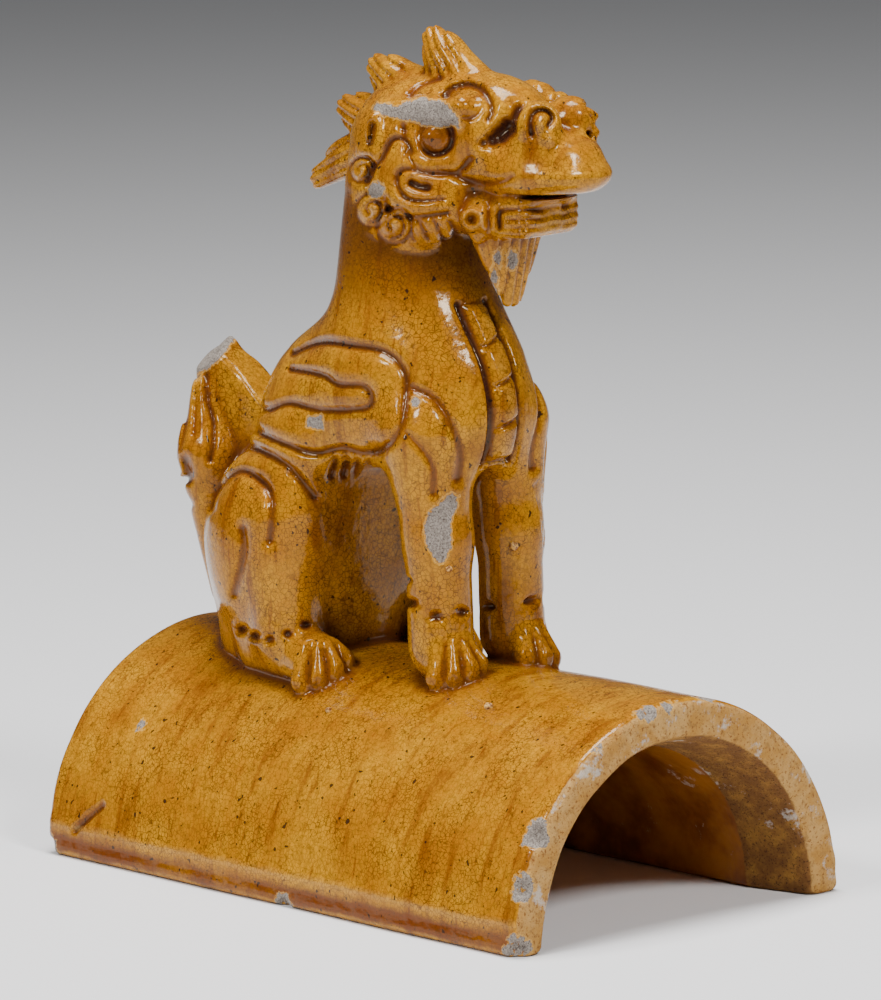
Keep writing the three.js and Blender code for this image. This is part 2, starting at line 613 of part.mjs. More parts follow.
// The half-round tile: rings of an outer and an inner arch at stations along it, closed by its two end faces.
function tile() {
  const half = TILE_LENGTH / 2;
  const stations = [
    { x: -half, wall: WALL },
    { x: half - FRONT_BEVEL, wall: WALL },
    { x: half, wall: FRONT_LIP_WALL },
  ];
  const points = [];
  for (const { x, wall } of stations)
    for (const inset of [0, wall])
      for (let j = 0; j <= ARCH_SEGMENTS; j++) {
        const a = (Math.PI * j) / ARCH_SEGMENTS;
        points.push([x, Math.cos(a) * (TILE_WIDTH / 2 - inset), Math.sin(a) * (TILE_HEIGHT - inset)]);
      }
  const at = (station, skin, j) => (station * 2 + skin) * (ARCH_SEGMENTS + 1) + j;
  const faces = [];
  const quad = (a, b, c, d) => faces.push([a, c, b], [a, d, c]);
  for (let s = 0; s + 1 < stations.length; s++) {
    for (let j = 0; j < ARCH_SEGMENTS; j++) {
      quad(at(s, 0, j), at(s + 1, 0, j), at(s + 1, 0, j + 1), at(s, 0, j + 1));
      quad(at(s, 1, j), at(s, 1, j + 1), at(s + 1, 1, j + 1), at(s + 1, 1, j));
    }
    quad(at(s, 0, 0), at(s, 1, 0), at(s + 1, 1, 0), at(s + 1, 0, 0));
    const end = ARCH_SEGMENTS;
    quad(at(s, 0, end), at(s + 1, 0, end), at(s + 1, 1, end), at(s, 1, end));
  }
  const last = stations.length - 1;
  for (let j = 0; j < ARCH_SEGMENTS; j++) {
    quad(at(0, 0, j), at(0, 0, j + 1), at(0, 1, j + 1), at(0, 1, j));
    quad(at(last, 0, j), at(last, 1, j), at(last, 1, j + 1), at(last, 0, j + 1));
  }
  return { points, faces };
}

function solid({ points, faces }) {
  const mesh = new wasm.Mesh({
    numProp: 3,
    vertProperties: new Float32Array(points.flat()),
    triVerts: new Uint32Array(faces.flat()),
  });
  mesh.merge();
  return new wasm.Manifold(mesh);
}

function toGeometry(manifold) {
  const mesh = manifold.getMesh();
  const geometry = new THREE.BufferGeometry();
  geometry.setAttribute("position", new THREE.Float32BufferAttribute(mesh.vertProperties, 3));
  geometry.setIndex(new THREE.Uint32BufferAttribute(mesh.triVerts, 1));
  return geometry;
}

const sampled = polygonise(beast, raise(BEAST_LOW, LIFT), raise(BEAST_HIGH, LIFT), CELL);
const beastMesh = thin(sampled, BEAST_TRIANGLES);
const whole = solid(tile()).add(solid(beastMesh));

const glaze = new THREE.MeshStandardMaterial({ color: 0xb8791c, roughness: 0.15, metalness: 0 });
const piece = new THREE.Mesh(toGeometry(whole), glaze);
piece.name = "ridge_beast_tile";
const group = new THREE.Group();
group.add(piece);

export default group;
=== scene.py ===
"""A glazed ridge tile with a seated beast, dressed for the studio.

The beast and its tile are one fired piece of clay. It is worked here as a field of distances in millimetres,
from the same forms as its solid, with the finer carving, chips and glaze added, and then meshed.
"""

import math

import bpy
import numpy as np
import openvdb
from bpy.props import FloatProperty, FloatVectorProperty, IntProperty, PointerProperty
from bpy.types import Operator, Panel, PropertyGroup
from mathutils import Matrix, Vector


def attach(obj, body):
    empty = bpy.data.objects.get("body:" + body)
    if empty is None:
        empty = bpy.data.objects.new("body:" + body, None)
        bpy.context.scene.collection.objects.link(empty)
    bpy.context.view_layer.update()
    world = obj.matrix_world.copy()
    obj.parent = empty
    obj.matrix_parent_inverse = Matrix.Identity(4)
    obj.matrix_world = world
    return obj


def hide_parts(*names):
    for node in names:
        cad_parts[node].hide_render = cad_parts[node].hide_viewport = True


bl_info = {
    "name": "Ridge beast tile",
    "version": (1, 0, 0),
    "blender": (4, 5, 0),
    "location": "View3D > Sidebar > Ridge tile",
    "description": "Builds a glazed half-round ridge tile with a seated beast, and its studio",
    "category": "Object",
}

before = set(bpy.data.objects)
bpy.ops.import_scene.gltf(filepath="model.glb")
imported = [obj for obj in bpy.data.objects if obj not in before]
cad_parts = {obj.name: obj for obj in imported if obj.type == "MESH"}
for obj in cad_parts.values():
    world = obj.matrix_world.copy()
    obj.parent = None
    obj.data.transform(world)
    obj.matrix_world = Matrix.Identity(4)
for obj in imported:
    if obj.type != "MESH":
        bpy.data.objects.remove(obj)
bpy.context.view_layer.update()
NODE = "ridge_beast_tile"


# Forms. Each takes arrays of x, y and z and gives about the distance to its skin, negative inside. A form
# that is a long way off isn't worked out, and counts as far.
FAR = 60
OUT_OF_REACH = 99.0
# Added where something is divided, so that it is never by 0.
SMALL, TINY = 1e-6, 1e-9


def near(distance, half_width):
    """1 on a line, falling smoothly to 0 at a half width from it."""
    t = np.clip(1 - np.abs(distance) / half_width, 0, 1)
    return t * t * (3 - 2 * t)


def above(value, edge, soft):
    """0 up to an edge, rising to 1 over a soft distance past it."""
    return np.clip((value - edge) / soft, 0, 1)


def soft_min(a, b, k):
    """Two forms joined, with a fillet where they are within k of each other."""
    h = np.maximum(k - np.abs(a - b), 0) / k
    return np.minimum(a, b) - h * h * k * 0.25


def soft_max(a, b, k):
    """What two forms share, with its edge rounded in the same way."""
    return -soft_min(-a, -b, k)


def oval(parts, radii):
    """About the distance to an ellipsoid, or an ellipse, from the share of its radius on each axis."""
    inner = np.sqrt(sum(p * p for p in parts)) + SMALL
    slope = np.sqrt(sum((p / r) ** 2 for p, r in zip(parts, radii))) + TINY
    return inner * (inner - 1) / slope


def ellipsoid(centre, radii):
    """An ellipsoid along the axes."""
    def form(x, y, z):
        return oval([(v - c) / r for v, c, r in zip((x, y, z), centre, radii)], radii)
    return form


def limb(start, end, start_radius=0.0, end_radius=0.0):
    """A round bar that tapers from one end to the other, with round ends."""
    along = [e - s for s, e in zip(start, end)]
    square = sum(v * v for v in along)

    def form(x, y, z):
        away = [v - s for v, s in zip((x, y, z), start)]
        t = np.clip(sum(a * d for a, d in zip(away, along)) / square, 0, 1)
        gap = np.sqrt(sum((a - d * t) ** 2 for a, d in zip(away, along)))
        return gap - (start_radius + (end_radius - start_radius) * t)
    return form


def block(centre, halves, round_by):
    """A box with rounded edges."""
    def form(x, y, z):
        q = [np.abs(v - c) - h + round_by for v, c, h in zip((x, y, z), centre, halves)]
        outside = np.sqrt(sum(np.maximum(v, 0) ** 2 for v in q))
        return outside + np.minimum(np.maximum(np.maximum(q[0], q[1]), q[2]), 0) - round_by
    return form


def blend(k, *forms):
    """Forms joined in turn, each with the same fillet."""
    def form(x, y, z):
        d = forms[0](x, y, z)
        for other in forms[1:]:
            d = soft_min(d, other(x, y, z), k)
        return d
    return form


def only(mask, form, *arrays):
    """The form where the mask holds, and far elsewhere."""
    out = np.full(arrays[0].shape, FAR, np.float32)
    if mask.any():
        out[mask] = form(*[a[mask] for a in arrays])
    return out


# Lines of carving are drawn in the plane of the quarter view, from the beast's right and front: a runs to the
# right across it and b runs up. The far side is carved to match.
ACROSS = (0.674, 0.739, -0.012)
UPWARD = (-0.111, 0.117, 0.987)


def quarter_view(x, y, z):
    """Where points lie in the view plane."""
    a = ACROSS[0] * x + ACROSS[1] * y + ACROSS[2] * z
    b = UPWARD[0] * x + UPWARD[1] * y + UPWARD[2] * z
    return a, b


def away(a, b, spot):
    """The distance to a spot in the view plane."""
    return np.hypot(a - spot[0], b - spot[1])


def smooth_line(points, parts=4):
    """A smooth curve through the points, each stretch of it cut into equal parts."""
    p = np.array([points[0]] + list(points) + [points[-1]], float)
    if len(points) < 3:
        return np.array(points, float)
    out = []
    for i in range(len(points) - 1):
        for t in np.linspace(0, 1, parts, endpoint=False):
            a, b, c, d = p[i:i + 4]
            out.append(0.5 * (2 * b + (c - a) * t + (2 * a - 5 * b + 4 * c - d) * t * t
                              + (3 * b - 3 * c + d - a) * t ** 3))
    out.append(p[-2])
    return np.array(out)


def line_distance(a, b, line, reach):
    """The distance to a line in the view plane, worked out only within reach of it."""
    out = np.full(a.shape, OUT_OF_REACH, np.float32)
    low, high = line.min(0) - reach, line.max(0) + reach
    inside = (a > low[0]) & (a < high[0]) & (b > low[1]) & (b < high[1])
    if not inside.any():
        return out
    pa, pb = a[inside], b[inside]
    best = np.full(pa.shape, np.inf, np.float32)
    for (sa, sb), (ea, eb) in zip(line[:-1], line[1:]):
        da, db = ea - sa, eb - sb
        t = np.clip(((pa - sa) * da + (pb - sb) * db) / (da * da + db * db + TINY), 0, 1)
        best = np.minimum(best, (pa - sa - da * t) ** 2 + (pb - sb - db * t) ** 2)
    out[inside] = np.sqrt(best)
    return out


def outline_distance(a, b, points, reach):
    """The signed distance to a closed outline in the view plane, negative inside."""
    line = np.array(list(points) + [points[0]], float)
    d = line_distance(a, b, line, reach)
    odd = np.zeros(a.shape, bool)
    for (sa, sb), (ea, eb) in zip(line[:-1], line[1:]):
        crosses = (sb > b) != (eb > b)
        odd ^= crosses & (a < (ea - sa) * (b - sb) / (eb - sb + TINY) + sa)
    return np.where(odd, -d, d)


# Each line of carving: its depth, its half width and the points that it runs through. A negative depth is a
# ridge. A lock has the two ends of its cut. What is round has a middle, and a radius where they differ. A
# chip with more points than one is an outline.
BODY_LINES = {
    "edge of the wing": (1.9, 2.5, [(-49, 178), (-39, 181.5), (-28, 180), (-18, 178), (-12, 173),
        (-10, 166), (-12, 152), (-18, 145), (-25, 144), (-32, 145.5), (-41, 144), (-49, 146), (-62, 152),
        (-64, 158)]),
    "slot of the wing": (1.7, 2.3, [(-49.5, 172.5), (-39, 170.5), (-33, 167), (-25, 166.5), (-22, 163),
        (-24, 159), (-39, 158.5), (-50, 161), (-57, 159), (-63.5, 159)]),
    "shoulder": (1.6, 2.6, [(-10, 166), (-1, 162), (5, 153), (8, 144), (7, 135)]),
    "upper arm": (1.3, 2.2, [(-10.5, 150.5), (-4.5, 144.5), (-1, 138), (-1, 130)]),
    "haunch": (2.0, 2.8, [(-76, 139), (-73, 143), (-65, 146), (-56, 143), (-49, 138), (-42, 129)]),
    "thigh": (1.9, 2.5, [(-78, 125), (-76.5, 130), (-70, 136.5), (-65, 137.5), (-58, 132.5), (-56, 126),
        (-57, 114)]),
    "shin": (1.6, 2.8, [(-66.5, 118), (-66, 110), (-68.5, 100), (-69.5, 96)]),
}
LOCK_DEPTH, LOCK_HALF = 1.3, 2.4
BELLY_LOCKS = [(-34, 143, -36, 136), (-30, 143.5, -32, 136.5), (-26, 144, -28, 137.5),
    (-22, 144, -24, 138)]
PIT_DEPTH, PIT_SQUASH, ANKLE_TOP = 2.3, 1.2, 108
ANKLE_PITS = [(-67, 83, 3.2), (-62, 81, 3.4), (-57, 80, 3.2), (-51, 82, 2.8), (-45, 85, 3), (-8, 93, 3.4),
    (0, 88.5, 4), (8.5, 90, 3.4), (-10, 101, 2.6)]
TAIL_LINES = {
    "outer strand": (1.5, 1.7, [(-86, 175.5), (-89, 166), (-91, 154), (-91.5, 147), (-90, 138)]),
    "second strand": (1.5, 1.7, [(-84, 176.5), (-87, 165), (-88, 154), (-90, 145.5)]),
    "third strand": (1.3, 1.5, [(-83, 177), (-84, 169), (-84.5, 159), (-85, 151)]),
    "inner strand": (1.9, 1.9, [(-81, 174), (-80, 163), (-78, 155), (-78, 147), (-79, 142)]),
    "notch": (1.7, 2.0, [(-93, 134), (-90, 130), (-86.5, 126.5)]),
    "lower notch": (1.2, 1.8, [(-94, 124), (-90, 119), (-87, 116)]),
    "hollow": (2.8, 3.2, [(-88, 142), (-86.5, 137.5), (-87, 135.5)]),
}
BODY_CHIP_DEPTH = 0.6
FORELEG_CHIP = [(-3.5, 113), (-4, 119.5), (-2, 124), (2, 128), (5, 130), (7.5, 129), (4.6, 120), (5, 113),
    (3, 107), (0.5, 106)]
WING_CHIP = [(-43.5, 156), (-39, 157), (-38.5, 152), (-44.5, 153)]
SHOULDER_CHIP = (-7, 161, 1.7)
BROW_SCAR = [(-21.8, 260), (-19.8, 262), (-16.3, 261.5), (-13.8, 259.7), (-11.5, 261.5), (-4.7, 263.2),
    (2.3, 260.7), (7.1, 256.4), (7.6, 252.8), (4.9, 253.6), (0.3, 252.6), (-4.7, 254.2), (-10.8, 256.1),
    (-17.8, 257.2)]
HEAD_LINES = {
    "under the lid": (1.5, 2.0, [(-11, 253), (-10, 246), (-7.5, 240.5), (-3, 237.5), (2, 236.8),
        (7.5, 238), (11.5, 242)]),
    "lower lid": (-2.8, 2.6, [(-8, 254), (-7.5, 248), (-6, 243), (-3.5, 240.5), (1, 239.5), (5.5, 240.5),
        (8.5, 244.5)]),
    "upper lid": (-2.0, 2.3, [(-5, 254.5), (1, 256), (6, 254), (8.8, 250)]),
    "brow": (2.1, 2.2, [(3, 263.5), (5.5, 266), (10, 267), (14.5, 265.5), (17.5, 262), (18.5, 258),
        (17.5, 255)]),
    "back of the brow": (1.1, 1.7, [(-9, 264), (-5, 267.5), (2, 270)]),
    "ridge over the brow": (-0.9, 1.8, [(1, 267), (6, 269.5), (11, 270), (17, 268), (21, 263)]),
    "bridge": (-1.1, 2.2, [(8.5, 247), (13, 248.5), (17, 248), (21, 246.5)]),
    "tail of the pit": (2.6, 2.8, [(16, 247.2), (18.5, 248.2), (21, 249.6)]),
    "pit": (4.6, 4.2, [(19.2, 248.4), (22, 250)]),
    "deep of the pit": (5.6, 4.8, [(21.2, 249.6), (24, 252.2)]),
    "top of the pit": (3.0, 3.6, [(23.5, 252), (26, 254.6), (28.2, 257.8)]),
    "in the nose roll": (2.4, 1.7, [(31.6, 249.5), (31.2, 254), (33.2, 257), (36.6, 257.2), (38.4, 254.8),
        (37, 252.6)]),
    "nose roll": (-2.6, 2.2, [(28.6, 249.5), (28.2, 254.5), (30.7, 259), (35.5, 260.3), (40, 258),
        (41.5, 254), (39.5, 250.3), (36.5, 248.5)]),
    "mouth's corner": (1.8, 2.0, [(7.5, 237), (1.5, 237.5), (-4, 237.7), (-10, 239), (-12.7, 237.5),
        (-13, 234.8), (-11.5, 231), (-8.5, 228.6), (-3.5, 228), (2.5, 228)]),
    "lip of the corner": (-1.3, 1.9, [(6, 235), (1.6, 234.2), (-4, 234.7), (-8.5, 236.5), (-11, 235.2),
        (-10, 232.3), (-6.7, 230.4), (-2, 230.2), (2.3, 231)]),
    "hole of the corner": (3.2, 2.3, [(-8.3, 234.2), (-5.4, 232.9), (-3, 232.6)]),
    "upper lip": (1.3, 2.0, [(6, 236.5), (11, 235), (16.5, 233.8), (21.5, 234), (25, 235.4)]),
    "edge of the cheek": (1.9, 1.9, [(3.6, 224), (-3, 223.2), (-8.6, 223), (-13, 224), (-17.6, 227.3),
        (-22, 231.2), (-23, 235.7), (-22, 239.5), (-19, 242), (-17, 245.3), (-15, 248.8), (-12, 249.5),
        (-9.6, 247.5), (-8.3, 244.6)]),
    "roll of the cheek": (-2.2, 2.6, [(3.6, 227), (-2.9, 226), (-8.6, 226), (-12.5, 227), (-16, 229.5),
        (-19.2, 232.7), (-19.7, 236), (-18.6, 238.3), (-15.5, 241), (-13.5, 244.5), (-12, 246.5)]),
    "temple": (1.3, 1.5, [(-21.8, 254.3), (-22.1, 251), (-22.4, 247.8)]),
    "jaw": (1.6, 1.4, [(21.4, 218.8), (21.6, 224.3), (31, 224.6), (40, 224.8)]),
    "lower jaw": (1.2, 1.3, [(24.3, 221.4), (34, 221.6), (40, 221.8)]),
    "foot of the jaw": (1.0, 1.2, [(22.5, 218.6), (33, 218.6), (40, 218.6)]),
    "front of the jaw": (-1.2, 1.7, [(42, 225), (41.6, 218.6)]),
    "tusk": (-1.5, 1.7, [(15.6, 226), (15.6, 219)]),
    "second tusk": (-1.5, 1.7, [(19.5, 226), (19, 218)]),
}
EYE_VIEW = (-0.1, 249.3)
EYE_RING, EYE_RING_DEPTH = 5.5, 2.4
BROW_BOSS_RISE, NOSE_BOSS_RISE = 1.3, 1.8
FANG_RISE, FANG_HALF = 1.8, 1.8
CHIN_HAIR, CHIN_HAIR_DEPTH = 4.6, 1.9
HEAD_CHIP_DEPTH = 0.5
HAIR_CURLS = [(-25.2, 239.5, 3.6), (-21.8, 225.8, 5.0), (-14.2, 220.3, 5.2)]
FANG = (11.8, 221.6)
BROW_BOSS = (10.2, 260.3)
NOSE_BOSSES = [(34.6, 252.6, 2.2), (37.5, 247.5, 2.8)]
CHEEK_CHIP = (-20.2, 232.4, 2.6)
BEARD_CHIPS = [(25.5, 208.5, 1.7), (20.8, 209.5, 1.3), (19.6, 203.5, 1.2), (19.2, 197.8, 1.2)]
# Where the tile's edges have been knocked, and how far round.
TILE_CHIPS = [
    ((119, -65, 40), 5.6), ((120, -71.5, 23.5), 4.6), ((121, -74, 2), 6), ((121, -37.5, 66), 2.6),
    ((120.5, -14, 74.5), 4), ((120.5, -4, 76), 3), ((117, 15, 75), 3.6), ((-120, -75, 2), 5.5),
    ((-121, -75, 10), 2.6), ((5, -75, 0.5), 4.2), ((-87, -58.3, 48), 1.9),
]
NARROW_SHARE, WIDE_SHARE = 0.7, 0.3


def carved(a, b, lines):
    """How deep a set of lines cuts at places in the view plane: grooves, each in a soft dip twice as wide."""
    cut = np.zeros(a.shape, np.float32)
    for depth, half_width, points in lines.values():
        d = line_distance(a, b, smooth_line(points), half_width * 2)
        shape = NARROW_SHARE * near(d, half_width) + WIDE_SHARE * near(d, half_width * 2)
        if depth > 0:
            cut = np.maximum(cut, depth * shape)
        else:
            cut = cut + depth * near(d, half_width)
    return cut


# The body. Its lengths are millimetres, as in the solid.
chest = ellipsoid((5, 0, 163), (34, 28, 33))
back = ellipsoid((-29, 0, 156), (42, 34, 36))
seat = limb((-61, 0, 110), (-62, 0, 80), 35, 33)
rump = blend(12, limb((-41, 0, 130), (-61, 0, 110), 37, 36), seat)
neck = limb((-6.5, 0, 180), (-9, 0, 236), 30.5, 22.3)
haunch = ellipsoid((-56, -25, 111), (23, 19, 34))
heel = limb((-58, -27, 79), (-42, -30, 79), 9, 10)
shin = blend(6, limb((-42, -30, 122), (-41, -31, 84), 12.5, 11), heel)
upper_arm = limb((17, -17, 156), (21, -16.5, 120), 16.5, 11)
foreleg = blend(6, upper_arm, limb((21, -16.5, 120), (22, -16.5, 84), 11, 11.3))
# How far up each form is worked out, and how far forward the tail is.
HIND_LEG_TOP, FORELEG_TOP, PAW_TOP, BODY_TOP = 165, 185, 100, 228
TAIL_FRONT, TAIL_TOP = -60, 190
# The carving is added only this near the skin.
BODY_SKIN, HEAD_SKIN = 6, 10
TOE_RADIUS = 3.9
TOE_SPREAD = 38
TOE_GAP_DEPTH, TOE_GAP_HALF = 3.0, 2.2
CLAW_DEPTH, CLAW_HALF = 0.9, 1.5
CROWN = 76.0
HALF_WIDTH = 75


def tile_top(y):
    """How high the tile is at a distance from its middle."""
    return CROWN * math.sqrt(max(1 - (y / HALF_WIDTH) ** 2, 0))


def paw(centre, radius, reach, first_toe):
    """A pad, four toes round it with gaps cut between them, and a claw mark at the tip of each."""
    cx, cy, cz = centre

    def ray(step, length, z=None, rise=0.0):
        turn = math.radians(first_toe + TOE_SPREAD * step)
        x, y = cx + math.cos(turn) * length, cy + math.sin(turn) * length
        return (x, y, (tile_top(y) if z is None else z) + rise)

    pad = limb((cx - 3, cy, cz), (cx + 1, cy, tile_top(cy) + 2), radius, radius)
    tip = reach + TOE_RADIUS
    toes = [limb(ray(n, reach * 0.5, cz + 4), ray(n, reach, rise=3.5), TOE_RADIUS, TOE_RADIUS)
            for n in range(4)]
    gaps = [limb(ray(n + 0.5, reach * 0.85, cz + 7), ray(n + 0.5, tip, rise=1)) for n in range(3)]
    claws = [limb(ray(n, tip - 0.4, rise=4.5), ray(n, tip + 0.4, rise=1)) for n in range(4)]
    spread, between, claw = blend(1.0, *toes), blend(0.8, *gaps), blend(0.8, *claws)

    def form(x, y, z):
        d = soft_min(pad(x, y, z), spread(x, y, z), 2)
        d = d + TOE_GAP_DEPTH * near(between(x, y, z), TOE_GAP_HALF)
        return d + CLAW_DEPTH * near(claw(x, y, z), CLAW_HALF)
    return form


fore_paw = paw((27.5, -17, 80), 9, 9, -76)
hind_paw = blend(2.5, paw((-26, -30, 75), 9, 9, -80), limb((-56, -27, 74), (-30, -30, 75), 9, 9.5))
BELLY_ROOF, BELLY_REAR = 143, -26


def torso(x, y, z):
    """The trunk, with the open space under the belly cut out of it."""
    hollow = soft_max(z - BELLY_ROOF, BELLY_REAR - x, 12)
    return soft_max(blend(14, chest, back, rump)(x, y, z), -hollow, 8)


BAND_HALF, BAND_TOP, BAND_FOOT = 4.8, 200, 147
BAND_JOINTS = (187, 174, 160)
BAND_GROOVE_DEPTH, BAND_GROOVE_HALF, BAND_BULGE = 2.6, 2.6, 1.3


def band_carving(x, y, z):
    """The jointed band down the chest, between two grooves."""
    within = above(x, 8, 6) * above(z, BAND_FOOT - 3, 3) * above(BAND_TOP + 1 - z, 0, 2)
    side = BAND_GROOVE_DEPTH * near(np.abs(y) - BAND_HALF - 1.4, BAND_GROOVE_HALF)
    plate = np.abs(y) < BAND_HALF
    joint = np.min([np.abs(z - at - 0.3 * y) for at in BAND_JOINTS], axis=0)
    ends = np.minimum(np.abs(z - BAND_TOP), np.abs(z - BAND_FOOT))
    across = np.where(plate, np.maximum(1.7 * near(joint, 1.8), 1.8 * near(ends, 2.2)), 0)
    crown = np.where(plate, BAND_BULGE * np.sqrt(np.clip(1 - (y / BAND_HALF) ** 2, 0, 1)), 0)
    return within * (np.maximum(side, across) - crown)


def body_carving(x, y, z):
    """The carving of the wing, the haunch, the shoulder and the ankles, and the chips."""
    a, b = quarter_view(x, y, z)
    cut = carved(a, b, BODY_LINES) * above(40 - x, 0, 4)
    for pa, pb, radius in ANKLE_PITS:
        pit = near(np.hypot(a - pa, (b - pb) * PIT_SQUASH), radius)
        cut = np.maximum(cut, PIT_DEPTH * pit * (z < ANKLE_TOP))
    for sa, sb, ea, eb in BELLY_LOCKS:
        lock = line_distance(a, b, np.array([(sa, sb), (ea, eb)], float), 4)
        cut = np.maximum(cut, LOCK_DEPTH * near(lock, LOCK_HALF))
    outer = above(-y, 10, 6)
    chips = np.minimum(outline_distance(a, b, FORELEG_CHIP, 4), outline_distance(a, b, WING_CHIP, 4))
    chips = np.minimum(chips, away(a, b, SHOULDER_CHIP) - SHOULDER_CHIP[2])
    return cut * np.maximum(outer, above(x, 12, 6)) + BODY_CHIP_DEPTH * above(-chips, -0.3, 0.6) * outer


TAIL_PEAK = (-106, 3, 177)
BREAK_NORMAL = Vector((-0.4, -0.55, 0.73)).normalized()
EDGE_NORMAL = Vector((0.65, 0, 0.76)).normalized()
slab_foot = limb((-92, 0, 84), (-101, 0, 130), 15, 16)
tail_slab = blend(8, slab_foot, limb((-101, 0, 130), (-105, 0, 172), 16, 12))
tail_web = limb((-84, 0, 120), (-90, 0, 166), 16, 13)
leaf_stem = limb((-93, -9, 90), (-104, -10, 136), 9, 12)
tail_leaf = blend(6, leaf_stem, limb((-104, -10, 136), (-107, -10, 158), 12, 6))
TAIL_FLAT = 1.8


def beside(plane, x, y, z):
    """The distance past a plane through the tail's peak."""
    return sum(n * (v - p) for n, v, p in zip(plane, (x, y, z), TAIL_PEAK))


def tail(x, y, z):
    """The flat tail and the leaf on its right side, both broken off at the top."""
    slab = soft_min(tail_slab(x, (y + 3) * TAIL_FLAT, z), tail_web(x, y * TAIL_FLAT, z), 4) / 1.4
    a, b = quarter_view(x, y, z)
    leaf = tail_leaf(x, y, z) + carved(a, b, TAIL_LINES) * above(-y, 4, 5)
    d = soft_max(soft_min(slab, leaf, 1.5), beside(BREAK_NORMAL, x, y, z) + 0.4 * ripple(x, y, z, 2.3), 0.6)
    return soft_max(d, beside(EDGE_NORMAL, x, y, z), 3)


def ripple(x, y, z, size):
    """A cheap unevenness, between about -1 and 1."""
    u, v, w = x / size, y / size, z / size
    waves = np.sin(u + 1.7 * np.sin(v * 0.9)) + np.sin(v * 1.1 + 1.9 * np.sin(w))
    return (waves + np.sin(w * 1.2 + 1.3 * u)) / 3


def body(x, y, z):
    """The beast without its head."""
    side = -np.abs(y)
    d = soft_min(torso(x, y, z), neck(x, y, z), 18)
    for form, top, fillet in ((haunch, HIND_LEG_TOP, 6), (shin, HIND_LEG_TOP, 6), (foreleg, FORELEG_TOP, 8)):
        d = soft_min(d, only(z < top, form, x, side, z), fillet)
    skin = np.abs(d) < BODY_SKIN
    if skin.any():
        d[skin] += body_carving(x[skin], side[skin], z[skin]) + band_carving(x[skin], y[skin], z[skin])
    for form in (hind_paw, fore_paw):
        d = soft_min(d, only(z < PAW_TOP, form, x, side, z), 2.5)
    return soft_min(d, only((x < TAIL_FRONT) & (z < TAIL_TOP), tail, x, y, z), 3)


# The head, in a frame of its own, turned a little to the beast's left.
HEAD_AT = (-8, 0, 240)
HEAD_TURN = math.radians(8)
skull = ellipsoid((7, 0, 11), (28, 24, 25))
forehead = ellipsoid((31.5, 0, 20), (28, 19, 17.8))
muzzle = block((44, 0, 8.5), (25, 16.5, 12), 10)
nose = ellipsoid((60, -8.5, 18.5), (10, 8, 9))
nose_wing = ellipsoid((62, -9, 22.8), (8.6, 7.6, 7.8))
upper_lip = ellipsoid((60, 0, 5.5), (22.5, 18.5, 8.6))
jaw = block((37, 0, -9), (25, 15.5, 7), 4)
jowl = ellipsoid((15, -15, 1), (20, 12, 16))
philtrum = ellipsoid((63, 0, 11.5), (16, 14, 8.5))
hair_roll = ellipsoid((15, -17, -6), (22, 10.5, 14.5))
wide_beard = limb((41, 0, -10), (43, 0, -39), 10, 2.4)
BEARD_NARROWING = 0.48
BEARD_STRAND, BEARD_STRAND_DEPTH = 5.0, 1.2
mouth_core = block((34, 0, 0), (24.2, 13.8, 12), 3)
EYE_AT = (25.6, -17, 17)
eyeball = ellipsoid(EYE_AT, (4.8, 6.4, 4.8))
far_nostril = limb((67.5, 8.5, 18), (72, 8, 18), 1.5, 1.5)
brow_stump = limb((3, -17, 25), (34, -16.5, 26), 4, 6)
BROW_BREAK = 21.5
FLAME_RIB, FLAME_RIB_DEPTH = 4.2, 1.3
SLIT_HEIGHT, SLIT_HALF, SLIT_FROM = -1.5, 0.8, 52
JAW_LINE_STEP, JAW_LINE_DEPTH = 3.15, 0.5
flame_root = limb((6, -17, 27), (38, -17, 28), 5, 6)
brow_flame = blend(3, flame_root, limb((38, -17, 28), (60, -13, 24), 6, 5.5))
ear = ellipsoid((2.5, -22, 17.5), (3.4, 4, 7))
ear_hollow = ellipsoid((3, -26, 17.5), (1.8, 4, 5))
# The forms that are added to the skull in turn: each with its fillet, and whether it stands on both sides.
HEAD_FORMS = [
    (forehead, 8, False), (muzzle, 8, False), (nose, 3.5, True), (nose_wing, 2, True), (upper_lip, 5, False),
    (philtrum, 4, False), (jowl, 6, True), (hair_roll, 4, True),
]
TUFT_RIB, TUFT_RIB_DEPTH = 3.3, 1.4
TUFT_FLAT = 1.5
# Each tuft of hair: its root, its middle and its tip in the plane of the face's profile, and its radii.
TUFTS = [
    ((22, 33), (15, 42), (10.5, 47.5), 12, 5),
    ((2, 28), (-8, 33), (-14, 36.5), 11, 5.2),
    ((-13, 17), (-22, 20), (-28, 22), 10, 5),
    ((-14, 8), (-28, 5), (-41, -3), 11, 4.5),
]


def ribs(place, width=1.0):
    """Ribs side by side: 1 in the groove between two of them, 0 on their backs."""
    return 1 - np.abs(np.sin(np.pi * place / width))


def tuft(x, y, z, base, mid, tip, base_radius, tip_radius):
    """A flat tuft of hair that ends blunt, its ribs running out towards the tip."""
    half = (base_radius + tip_radius) / 2
    low = limb((base[0], 0, base[1]), (mid[0], 0, mid[1]), base_radius, half)
    high = limb((mid[0], 0, mid[1]), (tip[0], 0, tip[1]), half, tip_radius)
    d = soft_min(low(x, y * TUFT_FLAT, z), high(x, y * TUFT_FLAT, z), 3) / 1.2
    run, rise = tip[0] - base[0], tip[1] - base[1]
    along = ((x - base[0]) * run + (z - base[1]) * rise) / (run * run + rise * rise)
    across = ((x - base[0]) * rise - (z - base[1]) * run) / math.hypot(run, rise)
    fan = across / (TUFT_RIB * (1.25 - 0.35 * np.clip(along, 0, 1)))
    return d + TUFT_RIB_DEPTH * ribs(fan + 0.25) ** 1.4 * above(along, -0.1, 0.3)


